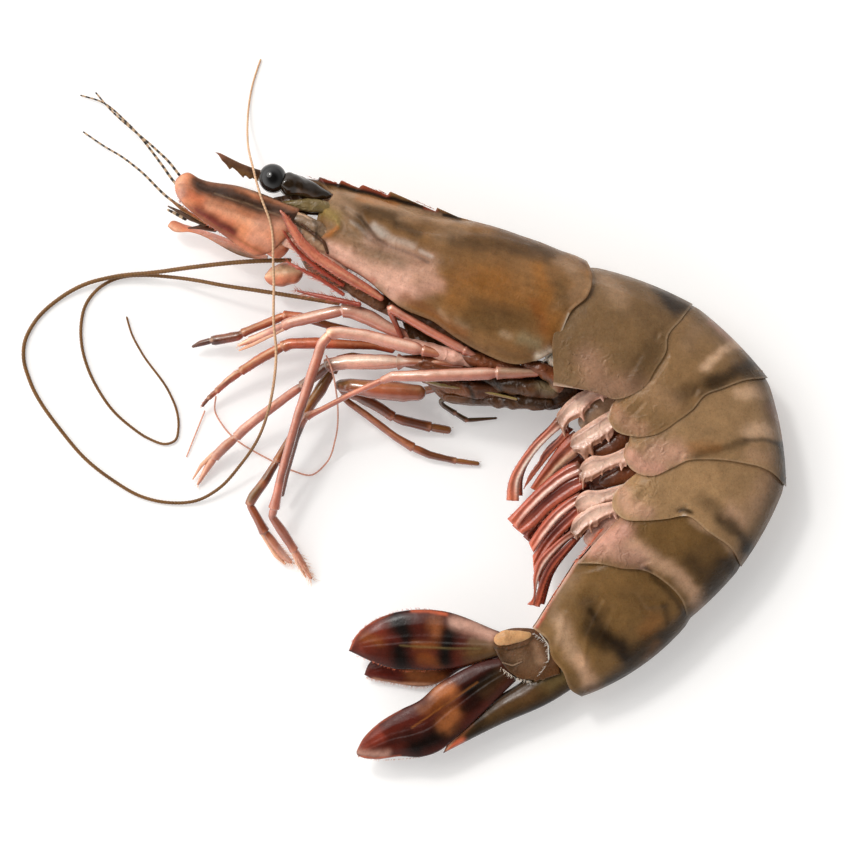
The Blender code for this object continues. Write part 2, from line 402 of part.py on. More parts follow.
# --- body ------------------------------------------------------------------------------
def add_tooth(tip, rise, collection):
    """Add one spine that leans forward out of the ridge."""
    root = Vector((tip[0] + TOOTH_LENGTH, tip[1] - rise, HEAD_MIDDLE)) * MM
    point = Vector((tip[0], tip[1], HEAD_MIDDLE)) * MM
    shape = bmesh.new()
    turn = (point - root).to_track_quat("Z", "Y").to_matrix().to_4x4()
    turn.translation = (point + root) / 2
    bmesh.ops.create_cone(shape, cap_ends=True, segments=6, radius1=TOOTH_RADIUS * MM, radius2=0.08 * MM,
                          depth=(point - root).length, matrix=turn)
    mesh = bpy.data.meshes.new("ridge_tooth")
    shape.to_mesh(mesh)
    shape.free()
    tooth = add_object("ridge_tooth", mesh, "shield_shell", collection)
    tooth.hide_render = True
    tooth.display_type = "WIRE"


def add_carapace(parts, joined):
    """Build the head shield with its beak, and join the beak's teeth to it."""
    ribs = straight_ribs(CARAPACE_RIBS)
    ribs.append((smooth(CARAPACE_REAR, PROFILE[:, 0]), CARAPACE_REAR_HALF_WIDTH))
    rings = [body_ring(rib, width, HEAD_MIDDLE) for rib, width in ribs]
    shield = add_skin("head_shield", rings, "shield_shell", parts, ladder_end)
    for tip in BACK_TEETH:
        add_tooth(tip, TOOTH_RISE, joined)
    for tip in THROAT_TEETH:
        add_tooth(tip, -TOOTH_RISE / 2, joined)
    join = shield.modifiers.new("teeth", "BOOLEAN")
    join.operation = "UNION"
    join.operand_type = "COLLECTION"
    join.collection = joined
    join.solver = "EXACT"


def front_rim(ring):
    """Return the front rim of a tail ring: the rim before it, one gap further on, then its flap."""
    shares = PROFILE[:, 0]
    if ring == 0:
        return smooth(FIRST_RIM, shares)
    before = smooth(REAR_RIMS[ring - 1], shares)
    along = np.gradient(before, axis=0)
    along /= np.linalg.norm(along, axis=1)[:, None]
    rim = before + np.column_stack((-along[:, 1], along[:, 0])) * JOINT_GAP
    rim[0] += along[0] * RIM_STEP
    last = np.flatnonzero(shares <= SHARED_RIM[ring - 1])[-1]
    for at in range(last + 1, len(rim)):
        part = (shares[at] - shares[last]) / (1 - shares[last])
        rim[at] = rim[last] * (1 - part) + np.array(FLAP_CORNERS[ring - 1]) * part
    return rim


def add_tail_ring(ring, parts):
    """Build one of the six rings of the tail, solid inside, with a flap down each side."""
    front = front_rim(ring)
    rear = smooth(REAR_RIMS[ring], PROFILE[:, 0])
    shares = PROFILE[:, :1]
    widths, middles = RING_HALF_WIDTHS[ring], RING_MIDDLES[ring]
    rings = []
    for part in RING_STATIONS:
        rib = front * (1 - part) + rear * part
        outward = (rib[0] - rib[-1]) / np.linalg.norm(rib[0] - rib[-1])
        swell = BACK_SWELLS[ring] * 4 * part * (1 - part)
        rib = rib + outward * swell * (1 - shares) ** 2
        half_width = widths[0] + (widths[1] - widths[0]) * part
        middle = middles[0] + (middles[1] - middles[0]) * part
        rings.append(body_ring(rib, half_width, middle))
    add_skin(f"tail_ring_{ring + 1}", rings, "ring_shell", parts, ladder_end)


def add_ribbed_body(name, table, middle, finish, parts):
    """Build a solid from straight ribs."""
    rings = [body_ring(rib, width, middle) for rib, width in straight_ribs(table)]
    add_skin(name, rings, finish, parts, ladder_end)


# --- limbs -----------------------------------------------------------------------------
def add_tube(name, route, finish, resolution, parts):
    """Build a round limb or feeler as a curve through x, y, height and radius."""
    curve = bpy.data.curves.new(name, "CURVE")
    curve.dimensions = "3D"
    curve.bevel_depth = MM
    curve.bevel_resolution = resolution
    curve.use_fill_caps = True
    spline = curve.splines.new("POLY")
    spline.points.add(len(route) - 1)
    for point, (x, y, height, radius) in zip(spline.points, route):
        point.co = (x * MM, y * MM, height * MM, 1.0)
        point.radius = radius
    spline.use_smooth = True
    add_object(name, curve, finish, parts)


def add_flat(name, spine, finish, parts, tilt=0.0, sides=LIMB_SIDES):
    """Build a flat or rounded piece from oval sections; tilt turns its width out of XY."""
    spine = np.array(spine, dtype=float)
    along = np.gradient(spine[:, :3], axis=0)
    turns = [2 * math.pi * at / sides for at in range(sides)]
    lean = math.radians(tilt)
    rings = []
    for place, forward in zip(spine, along):
        forward = Vector(forward).normalized()
        flat = Vector((-forward.y, forward.x, 0.0)).normalized()
        rise = flat.cross(forward)
        wide = flat * math.cos(lean) + rise * math.sin(lean)
        thick = wide.cross(forward)
        rings.append([Vector(place[:3]) + wide * place[3] * math.cos(turn) + thick * place[4] * math.sin(turn)
                      for turn in turns])
    add_skin(name, rings, finish, parts, flat_end)


def add_eye(name, height, parts):
    """Build an eyeball and the stalk that carries it as one turned piece."""
    inward = 1 if height < HEAD_MIDDLE else -1
    start, first = Vector((*EYE_CENTRE, height)), EYE_STALK[0]
    axis = (Vector((first[0], first[1], height)) - start).normalized()
    spine = []
    for step in range(1, 8):
        turn = math.pi * step / 9
        place = start - axis * EYE_RADIUS * math.cos(turn)
        spine.append((*place, EYE_RADIUS * math.sin(turn), EYE_RADIUS * math.sin(turn)))
    for at, (x, y, radius) in enumerate(EYE_STALK):
        spine.append((x, y, height + inward * 0.55 * at, radius, radius))
    add_flat(name, spine, "eye_black", parts, sides=12)


def add_swimming_legs(parts):
    """Build five pairs of swimming legs; the right ones mirror the left and droop."""
    for pair, left in enumerate(SWIMMING_LEGS, 1):
        add_flat(f"swimming_leg_{pair}_L", left, "swimmer_red", parts)
        last = len(left) - 1
        right = [(x + RIGHT_LEG_SHIFT[0] * at / last, y + RIGHT_LEG_SHIFT[1] * at / last,
                  2 * HEAD_MIDDLE - height - RIGHT_LEG_DROOP * at / last, wide, thick)
                 for at, (x, y, height, wide, thick) in enumerate(left)]
        add_flat(f"swimming_leg_{pair}_R", right, "swimmer_red", parts)


def add_feelers(parts):
    """Build the long and short feelers and the two loose threads."""
    for name, (route, root_radius, tip_radius, count) in FEELERS.items():
        points = smooth(route, evenly(count))
        radii = root_radius + (tip_radius - root_radius) * evenly(count)
        tube = [(*point, radius) for point, radius in zip(points, radii)]
        add_tube(name, tube, "feeler_brown", 1 if len(tube) > 5 else 2, parts)


def main():
    """Clear the scene and build the animal."""
    for old in list(bpy.data.objects):
        bpy.data.objects.remove(old, do_unlink=True)
    parts = bpy.data.collections.new("raw_tiger_prawn")
    joined = bpy.data.collections.new("joined_teeth")
    for collection in (parts, joined):
        bpy.context.scene.collection.children.link(collection)

    add_carapace(parts, joined)
    for ring in range(len(REAR_RIMS)):
        add_tail_ring(ring, parts)
    add_ribbed_body("face", FACE_RIBS, HEAD_MIDDLE, "belly_skin", parts)
    add_ribbed_body("breast", BREAST_RIBS, BREAST_MIDDLE, "belly_skin", parts)
    for name, route in LEGS.items():
        add_tube(name, route, "limb_pink", 2, parts)
    for name, spine in SCALES.items():
        add_flat(name, spine, "scale_orange", parts, tilt=SCALE_TILTS[name])
    for name, spine in MOUTH_PARTS.items():
        add_flat(name, spine, "mouth_red", parts, sides=6)
    for name, spine in TAIL_FAN.items():
        add_flat(name, spine, "tail_red", parts)
    for table, finish in ((STALKS, "stalk_olive"), (FEELER_ROOTS, "scale_orange")):
        for name, route in table.items():
            add_flat(name, [(*point, point[3]) for point in route], finish, parts)
    add_eye("eye_L", EYE_HEIGHTS[0], parts)
    add_eye("eye_R", EYE_HEIGHTS[1], parts)
    add_swimming_legs(parts)
    add_feelers(parts)


main()
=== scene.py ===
import itertools
import math

import bpy
import numpy as np
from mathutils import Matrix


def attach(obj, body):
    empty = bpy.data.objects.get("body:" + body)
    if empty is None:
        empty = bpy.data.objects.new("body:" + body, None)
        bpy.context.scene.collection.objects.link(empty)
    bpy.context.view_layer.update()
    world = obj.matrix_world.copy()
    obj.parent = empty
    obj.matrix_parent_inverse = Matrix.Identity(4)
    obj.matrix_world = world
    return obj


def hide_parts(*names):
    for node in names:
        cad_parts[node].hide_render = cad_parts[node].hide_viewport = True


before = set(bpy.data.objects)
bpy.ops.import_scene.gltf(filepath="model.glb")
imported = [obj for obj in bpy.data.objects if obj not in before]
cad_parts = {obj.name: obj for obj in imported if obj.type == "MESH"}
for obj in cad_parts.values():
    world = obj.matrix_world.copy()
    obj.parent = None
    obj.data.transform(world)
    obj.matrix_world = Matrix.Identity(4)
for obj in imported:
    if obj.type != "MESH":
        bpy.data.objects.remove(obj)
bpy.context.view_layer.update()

bl_info = {
    "name": "Raw tiger prawn",
    "version": (1, 0, 0),
    "blender": (4, 5, 0),
    "location": "3D View > Sidebar > Prawn",
    "description": "Builds the looks of a whole raw prawn over its CAD parts",
    "category": "Object",
}

# The prawn lies on its right side: head towards -X, back along +Y, left side up (+Z), floor at Z = 0.
# Tables are in millimetres and meshes in metres.
MM = 0.001
HEAD_MIDDLE = 10.2         # height of the animal's mirror plane over the floor
BREAST_MIDDLE = 9.9        # the same for the breast
SKIN = 0.45                # thickness of a shell plate
TUCK = 1.8                 # how far a tail ring starts under the one before it
BEAK_ROOT = -24.2          # X where the lower edge of the beak ends
BEND_START = 19.0          # X behind which the head shield's ribs bend like its rear rim
CREST_SPAN = (-15.5, 13)   # X from which the crest blade rises, and where it ends
BODY_FRONT = -16           # X where the head shield widens behind its beak
REAR_HALF_WIDTH = 10.5     # half width of the head shield at its rear rim
LIMB_CLEARANCE = 0.02      # least height of limbs and feelers over the floor
THIN_CLEARANCE = 0.05      # least height of plates and hairs over the floor
BEAD_SPACING = 0.62        # length of one ring of a feeler, as drawn
BAND_SPACING = 1.5         # length of one dark and one pale band of a short feeler
EYE_CENTRE = (-23.6, 41.3)
EYE_HEIGHTS = {"eye_L": 14.4, "eye_R": 6.0}
EYE_RADIUS = 2.6
# From each left swimming leg to the right one under it.
RIGHT_SWIMMERS = ((0.7, 0.9, -5.0), (1.3, -1.2, -4.0), (2.0, -2.0, -4.5), (1.2, -1.0, -4.0), (0.9, 0.4, -4.0))
SHIELD_TURN = -0.37        # how far the head shield is turned in the picture plane


def points_of(width, numbers):
    """Group a run of numbers into points of the given width."""
    return [tuple(numbers[at:at + width]) for at in range(0, len(numbers), width)]


def grouped(width, table):
    """Group each run of numbers in a table into points of the given width."""
    return {name: points_of(width, numbers) for name, numbers in table.items()}


# Head shield: x and y on the back, x and y on the lower margin, half width.
CARAPACE_RIBS = points_of(5, (
    -34.1, 46.1, -33.9, 45.8, 0.15, -31.3, 45, -31.1, 43.2, 0.6, -28.6, 43.8, -28.8, 41.8, 0.8,
    -26.1, 43, -26.3, 41, 0.9, -22.3, 42.3, -22.3, 40.7, 1, -18.7, 41.9, -18.5, 40.3, 1.1,
    -15.1, 41.2, -14.8, 39.6, 1.5, -11.9, 40.5, -13.1, 37.1, 3, -10.4, 40.2, -15.3, 34.9, 4.2,
    -8.3, 39.8, -15.8, 31.7, 5.2, -5.8, 39.1, -15.5, 29, 6, -2.9, 38.3, -11.5, 26.1, 7,
    0.4, 37.4, -6.5, 23, 7.9, 3.6, 36.3, -2.9, 20, 8.6, 6.8, 35.3, 0, 17.8, 9.1, 10.4, 34.2, 5, 15.7, 9.6,
    14.8, 33, 9.7, 12.4, 10.1, 19.4, 31.7, 15.1, 9.4, 10.4, 24.5, 29.9, 20, 7.9, 10.6,
    28.4, 28.3, 23.8, 8.5, 10.5,
))
CARAPACE_REAR = points_of(2, (
    32.9, 26.5, 33.8, 23, 32.9, 19.8, 30.1, 17.3, 28.1, 13.1, 26.8, 10.3,
))
# Front rim of the first tail ring, then the rear rim of each ring, from back to belly.
FIRST_RIM = points_of(2, (
    33.5, 26.3, 34.4, 23, 33.5, 19.6, 30.8, 17.1, 28.6, 13, 27.9, 8.3, 27.5, 4,
))
REAR_RIMS = [points_of(2, rim) for rim in (
    (52, 18.7, 49.7, 15.8, 47.3, 12.8, 47, 10.3, 44.8, 6.5, 43.6, 4.3, 40.7, 2.3, 37.4, 1.6, 34.9, 2.9),
    (
        65.5, 5.4, 61.4, 5, 56.9, 3.4, 53.8, 2.2, 51.8, -0.2, 49, -2.3, 45.2, -4.7, 41.2, -5.1, 37.8, -4,
        36.4, -1.6,
    ),
    (
        68.8, -14.2, 65.9, -11.5, 59.9, -9.7, 54, -9.2, 50.9, -9.4, 47.9, -10.8, 44.3, -12.2, 41.2, -11.3,
        39.4, -8.5, 39.8, -6.5,
    ),
    (
        60.7, -28.6, 58.9, -25.4, 54.7, -22.3, 50.8, -19.4, 47, -19.9, 43, -20.2, 39.2, -19.8, 37.4, -17.8,
        37.6, -15.3,
    ),
    (51.1, -38.2, 49.9, -34.6, 46.8, -31.3, 43.2, -29.2, 39.2, -28.8, 35.3, -28, 31.1, -27.9),
    (32, -52, 30.1, -50.8, 28.6, -47.5, 26.5, -44.6, 25.9, -41.9, 23.2, -39.6),
)]
# Share of a rim that the next ring follows, and the front corner of that ring's side flap.
SHARED_RIM = (0.82, 0.84, 0.82, 0.85, 1)
FLAP_CORNERS = ((37.4, 0.7), (40.6, -5.9), (40.6, -12.6), (37.4, -20.8), (31.1, -28.3))
# Half widths of each tail ring at its front and rear, mirror plane heights, swell of the back.
RING_HALF_WIDTHS = ((10.2, 10.6), (10.3, 10.7), (10.3, 10.5), (10, 9.9), (9.5, 9.1), (8.7, 6.2))
RING_MIDDLES = ((10.2, 10.2), (10.2, 10.2), (10.2, 9.9), (9.9, 9.3), (9.3, 8.6), (8.6, 7.4))
BACK_SWELLS = (0.9, 0.8, 1, 0.7, 0.5, 2)
# Skin under the front of the shield, and the breast that carries the legs, laid out in the same way.
FACE_RIBS = points_of(5, (
    -17.8, 36.9, -20, 35.1, 2.4, -17.1, 33.5, -19.6, 32.4, 3.1, -16.5, 29.7, -19.1, 28.4, 3.7,
    -14.6, 26.6, -17.6, 25, 3.8, -9.9, 23.9, -12.6, 21.6, 3.6, -6.1, 21.2, -7.6, 19.8, 3.4,
    -3.7, 19.4, -3.6, 17.9, 3.2,
))
BREAST_RIBS = points_of(5, (
    -1.2, 18.1, 0.4, 13.3, 2.4, 1.1, 16.5, 1.8, 8.6, 3, 5.2, 14.5, 6.1, 2.2, 3.3, 10.2, 11.3, 11, 0.5, 3.4,
    15.4, 8.3, 15.8, 0.5, 3.4, 20, 7.3, 20.3, 0.7, 3.4, 23.5, 7.8, 23.8, 0.2, 3.3, 26, 8.6, 26.2, -0.4, 3,
    29, 8, 28.6, 0.2, 2.6, 32, 6.4, 31.4, 1.8, 1.8,
))
# Walking legs and third jaw legs, tip to root: x, y, height, radius.
LEGS = grouped(4, {
    "walking_leg_01": (
        -30.1, 11.2, 5, 0.2, -27.7, 12.2, 5.6, 0.65, -21.6, 14.8, 9.2, 0.8, -20.7, 15.3, 9.7, 0.95,
        -15.5, 16.6, 11, 1.1, -11, 17.6, 11.8, 1.1, -9.5, 17.5, 12, 1.3, -6.1, 16.2, 12, 1.4,
        -2.9, 14.4, 11.9, 1.1, 2.4, 12, 11.2, 1, 7, 10.4, 10.8, 0.8,
    ),
    "walking_leg_02": (
        -37.4, -14, 0.6, 0.2, -35.8, -11.2, 1.6, 0.6, -34.2, -8.8, 2.6, 0.8, -32.2, -6.8, 3.8, 0.95,
        -30.2, -5.2, 4.9, 0.75, -29.2, -4.1, 5.4, 0.9, -26.6, -2, 6.6, 0.9, -18.4, 4, 10.2, 0.8,
        -13.7, 7.6, 11.8, 1.15, -10.4, 8.3, 12.2, 1.3, -5.8, 8.3, 12.6, 1.4, -0.9, 8.3, 13.2, 1.3,
        0, 8.3, 13.7, 0.8, 6.5, 8.1, 14.5, 0.6, 10.8, 7.6, 14.5, 0.5,
    ),
    "walking_leg_03": (
        -16.7, -31, 0.8, 0.25, -18.2, -28.4, 1.8, 0.65, -19.8, -25.7, 3, 0.7, -21.8, -22.5, 4.6, 0.9,
        -23.8, -19.6, 6, 0.7, -23.4, -18, 6.9, 0.9, -22.1, -12.1, 9.2, 0.75, -19.3, -2.2, 12.6, 0.85,
        -16.6, 5.9, 15, 0.95, -14.8, 11.5, 16.2, 0.9, -13.3, 13.3, 16.6, 1, -11.5, 13.6, 16.6, 1.05,
        -6.8, 13, 16.2, 1.1, 2.3, 10.6, 15.5, 1.25, 3.4, 10.3, 15.4, 0.9, 8.6, 9.2, 15.2, 0.7,
    ),
    "walking_leg_04": (
        -22.1, -16, 3.6, 0.4, -20.9, -10.8, 6, 0.5, -19.3, -5.2, 9, 0.55, -18.2, -2.5, 10.4, 0.65,
        -17.5, -1.5, 10.8, 0.7, -15.1, -0.4, 11.5, 0.5, -9.7, 2.4, 13.5, 0.5, -3.8, 5, 15.6, 0.6,
        -2, 5.7, 16.2, 0.9, 4.7, 5.8, 16.9, 1.1, 15.3, 6.2, 16.9, 1.2, 16.6, 6.3, 16.8, 1.05,
        20.2, 6.3, 16.4, 1, 24.5, 6.3, 15.6, 0.7,
    ),
    "walking_leg_05": (
        0.3, 11.3, 12.2, 0.4, -0.4, 12.6, 12.8, 0.45, -2.3, 16.9, 15.8, 0.55, -2.5, 17.9, 16.3, 0.75,
        4.7, 13.7, 16.4, 0.8, 10.8, 10.4, 16.2, 0.8, 11.9, 9.8, 16, 0.6, 15.6, 7.6, 15.2, 0.45,
    ),
    "walking_leg_06": (
        -20.2, -28.1, 0.9, 0.3, -22, -26.5, 1.5, 0.8, -25.2, -22.3, 2.9, 0.85, -27.9, -17.3, 4.6, 0.75,
        -27.2, -16, 5, 0.95, -25.2, -13.3, 5.8, 0.85, -22.9, -9.5, 6.4, 0.7, -19.6, -4, 7.5, 0.75,
        -17.3, 0, 8.3, 1, -15.1, 3.2, 9.1, 1.1, -13.1, 6.7, 9.3, 0.95, -11.9, 8.5, 9.4, 1, -9.4, 9, 9.5, 1,
        -1.1, 8.3, 9.8, 0.8,
    ),
    "walking_leg_07": (
        8.6, -4.1, 1.1, 0.7, 4.7, -3.4, 1.6, 0.85, 0, -2.3, 3, 0.9, -2, -1.6, 3.6, 0.8, -4.3, 0, 4.3, 0.95,
        -8.3, 2.2, 5.3, 1, -10.6, 2.9, 6, 0.9, -11.5, 4.1, 7.2, 0.9, -9.7, 4, 8.4, 1.3, -5.8, 3.4, 9, 1.7,
        -0.7, 2.9, 9.2, 1.8, 4, 2.7, 9.4, 1.3,
    ),
    "walking_leg_08": (
        13.7, -10.1, 0.7, 0.4, 9.2, -9.5, 1, 0.55, 4.7, -8.5, 1.4, 0.7, 1.6, -7.1, 1.8, 0.75,
        -1.6, -5.2, 2.2, 0.7, -7, -1.1, 2.8, 0.65, -10.1, 1.1, 2.9, 0.6, -11, 2, 2.9, 0.6,
        -9.7, 2.6, 2.6, 0.7, -2.5, 2.6, 1.7, 0.8, 3, 3, 3.2, 0.8, 7.5, 4, 5.3, 0.6,
    ),
    "walking_leg_09": (
        16.9, -1.8, 1, 0.2, 11.3, -2.2, 2.2, 0.45, 9.2, -0.9, 2.8, 0.45, 7, 0.5, 3.4, 0.45,
        6.5, 1.3, 3.8, 0.4, 7.7, 1.8, 4.2, 0.5, 11.9, 2.2, 4.8, 0.5,
    ),
    "walking_leg_10": (
        20.5, 1.5, 14.4, 0.25, 13.7, 3.1, 14.5, 0.35, 6.5, 4.1, 14.5, 0.4, 3.6, 4.9, 14, 0.35,
    ),
    "jaw_leg_L": (
        -36.6, 0.2, 2.2, 0.25, -35.3, 1.8, 2.8, 0.4, -33.8, 3.1, 3.4, 0.5, -31.7, 5, 4.4, 0.65,
        -29.3, 6.7, 5.2, 0.75, -25.4, 9.2, 6.7, 0.9, -21.8, 11.1, 7.8, 0.9, -20.5, 11.6, 8.1, 0.95,
        -15.8, 11.7, 8.4, 1.05, -5.4, 11.2, 8.6, 0.7, -1.6, 10.3, 8.8, 0.6,
    ),
    "jaw_leg_R": (
        -38.4, 11, 2.6, 0.2, -36.7, 11.7, 3, 0.55, -34.7, 12.2, 3.4, 0.6, -34.2, 12.2, 3.5, 0.85,
        -29.9, 13, 4.4, 0.9, -29, 13.6, 4.6, 0.7, -21.6, 16.6, 6.8, 0.85, -18.7, 16.5, 7.2, 0.8,
        -14.2, 15.1, 7.5, 0.7, -5.8, 13, 7.8, 0.6,
    ),
})
# Red limbs at the mouth, tip to root: x, y, height, half width, half thickness.
MOUTH_PARTS = grouped(5, {
    "mouth_palp": (
        -22.3, 35.6, 16.3, 0.12, 0.1, -21.4, 34.4, 16.4, 0.45, 0.3, -20.2, 32.4, 16.4, 0.8, 0.4,
        -18.4, 29.7, 16.4, 0.9, 0.45, -15.8, 27.2, 16.3, 0.95, 0.5, -11.5, 24.3, 16.2, 0.95, 0.5,
        -6.8, 21.5, 16, 0.85, 0.5, -3.6, 19.4, 15.8, 0.5, 0.4,
    ),
    "mouth_lash": (
        -21.6, 31.9, 15.8, 0.12, 0.12, -20.2, 29.5, 15.4, 0.3, 0.3, -18.2, 27.2, 15, 0.38, 0.35,
        -15.1, 24.7, 14.9, 0.4, 0.35, -10.6, 21.8, 14.8, 0.35, 0.3,
    ),
    "mouth_brush_1": (
        -19.4, 21.1, 12.6, 0.15, 0.12, -15.5, 20.2, 13.2, 0.4, 0.3, -11.5, 19.3, 13.9, 0.5, 0.35,
        -7.6, 18.5, 14.4, 0.4, 0.3,
    ),
    "mouth_brush_2": (
        -21.2, 26.4, 13, 0.12, 0.12, -19.1, 25.2, 14.7, 0.3, 0.3, -15.1, 23.2, 14.8, 0.35, 0.3,
        -10.6, 20.2, 14.9, 0.35, 0.3,
    ),
})
# Feelers and loose threads: root and tip radius, then x, y, height from root to tip.
FEELERS = {
    "feeler_long_L": (
        0.42, 0.17, -20.2, 26.6, 9, -25.9, 26.5, 8.4, -29.5, 26.3, 7.6, -37.4, 25.5, 5.6, -45, 24.5, 3.2,
        -52.6, 23.7, 1.6, -57.6, 22.4, 1.2, -62.6, 19.6, 0.5, -66.7, 15.7, 0.45, -68.7, 11.5, 0.45,
        -68.8, 9, 0.45, -67.7, 5, 0.45, -61.6, -4.6, 0.45, -57.6, -9.2, 0.45, -52.6, -13.1, 0.45,
        -47.5, -16, 0.45, -42.5, -17.1, 0.5, -37.4, -16.7, 0.9, -33.3, -14.4, 2, -29.8, -10.6, 4.2,
        -25.6, -4, 9.2, -24.3, 0, 10.5, -23.4, 4.7, 10.9, -23, 10.4, 11.3, -23.4, 14.8, 11.9,
        -23.4, 23, 13.4, -23.5, 27, 15.2, -23.6, 31.1, 16, -23.9, 32.9, 16.2, -25.7, 38, 16.2,
        -26.5, 40.7, 15, -27.2, 43.4, 12.9, -28.2, 48.2, 5.2, -28.3, 50.9, 2.2, -28.1, 54.5, 0.6,
        -27.4, 58.5, 0.3, -25.9, 63.2, 0.3,
    ),
    "feeler_long_R": (
        0.4, 0.18, -11.5, 18.8, 9.2, -25.9, 21.1, 7, -33.1, 22.2, 5.4, -36.7, 22.9, 4.5, -42.5, 23.7, 2.4,
        -47.5, 24, 0.9, -49.7, 23.9, 0.5, -52.6, 23.2, 0.45, -55.5, 21.4, 0.4, -57.6, 18.6, 0.4,
        -58.4, 15.1, 0.4, -58.3, 11.5, 0.4, -57.1, 7, 0.4, -55.1, 3, 0.4, -52.6, -0.5, 0.4,
        -49.5, -3.3, 0.4, -46, -5.6, 0.4, -42.9, -6.5, 0.4, -41.4, -5.9, 0.4, -40.8, -3.6, 0.4,
        -41.1, -0.5, 0.4, -42.4, 2.7, 0.4, -47.5, 10.1, 0.4, -49.2, 13.3, 0.4, -50.2, 16.6, 0.4,
    ),
    "feeler_short_1": (
        0.26, 0.14, -37.4, 38.2, 12.2, -40.4, 41.9, 11.4, -42.5, 44.5, 10.4, -44.5, 46.4, 9.2,
        -53.5, 54.4, 2.4, -55.8, 57.1, 0.5,
    ),
    "feeler_short_2": (
        0.26, 0.14, -38.5, 37.6, 11.2, -41.7, 41.1, 10, -43.7, 43.9, 8.6, -50, 51.5, 3.9, -54.8, 55.4, 1,
        -58.6, 56.6, 0.35,
    ),
    "feeler_short_3": (
        0.26, 0.14, -38.9, 35.4, 9.6, -42.4, 37.8, 8.2, -47.5, 42.7, 5.4, -51, 45.4, 3.2, -54, 47.2, 1.4,
        -58.1, 50, 0.35,
    ),
    "feeler_short_4": (0.42, 0.2, -39.1, 34, 8.8, -42.7, 35.8, 7.2),
    "leg_thread_1": (0.15, 0.12, -36, -0.4, 0.6, -39.4, -8.9, 0.3),
    "leg_thread_2": (
        0.15, 0.15, -34, 2.2, 1.6, -34.2, -0.5, 0.6, -32.6, -3.4, 0.3, -23.8, -9.6, 0.3, -20.2, -11.3, 0.3,
        -16.7, -12.1, 0.3, -14.2, -10.1, 0.8, -12.4, -5.6, 4.2, -11.9, -0.9, 8.6, -12.2, 2.9, 11.2,
        -13.4, 8.1, 14.4, -14, 9.5, 14.6,
    ),
}
# Stalks of the short feelers and swollen roots of the long ones: x, y, height, radius.
STALKS = grouped(4, {
    "feeler_stalk_L": (
        -37, 37.4, 12.2, 0.5, -34, 37, 12.3, 1, -28.5, 36.6, 12.4, 1.1, -21.4, 35.8, 12.2, 1,
    ),
    "feeler_stalk_R": (
        -38.6, 34.7, 9.2, 0.5, -35.5, 34.2, 9.4, 0.8, -29, 33.5, 9.6, 1.1, -21.4, 33.2, 9.4, 1,
    ),
})
FEELER_ROOTS = grouped(4, {
    "feeler_root_L": (
        -25.4, 29.3, 12, 0.6, -24.6, 29.2, 12, 1.8, -23, 29.2, 12, 2.35, -21.3, 29.4, 12, 1.9,
        -20.4, 29.5, 12, 1.1,
    ),
    "feeler_root_R": (
        -25.2, 23.5, 6.6, 0.6, -24, 23.6, 6.6, 1.7, -21.8, 24, 6.8, 2, -19.4, 24.2, 7.2, 1.6,
        -18.2, 24.4, 7.4, 0.9,
    ),
})
# Stalk of the eye: x, y, radius.
EYE_STALK = points_of(3, (
    -20.9, 40.4, 2, -18.6, 39.7, 1.9, -16.4, 38.9, 1.5, -14, 38.2, 1, -12.6, 37.6, 0.5,
))
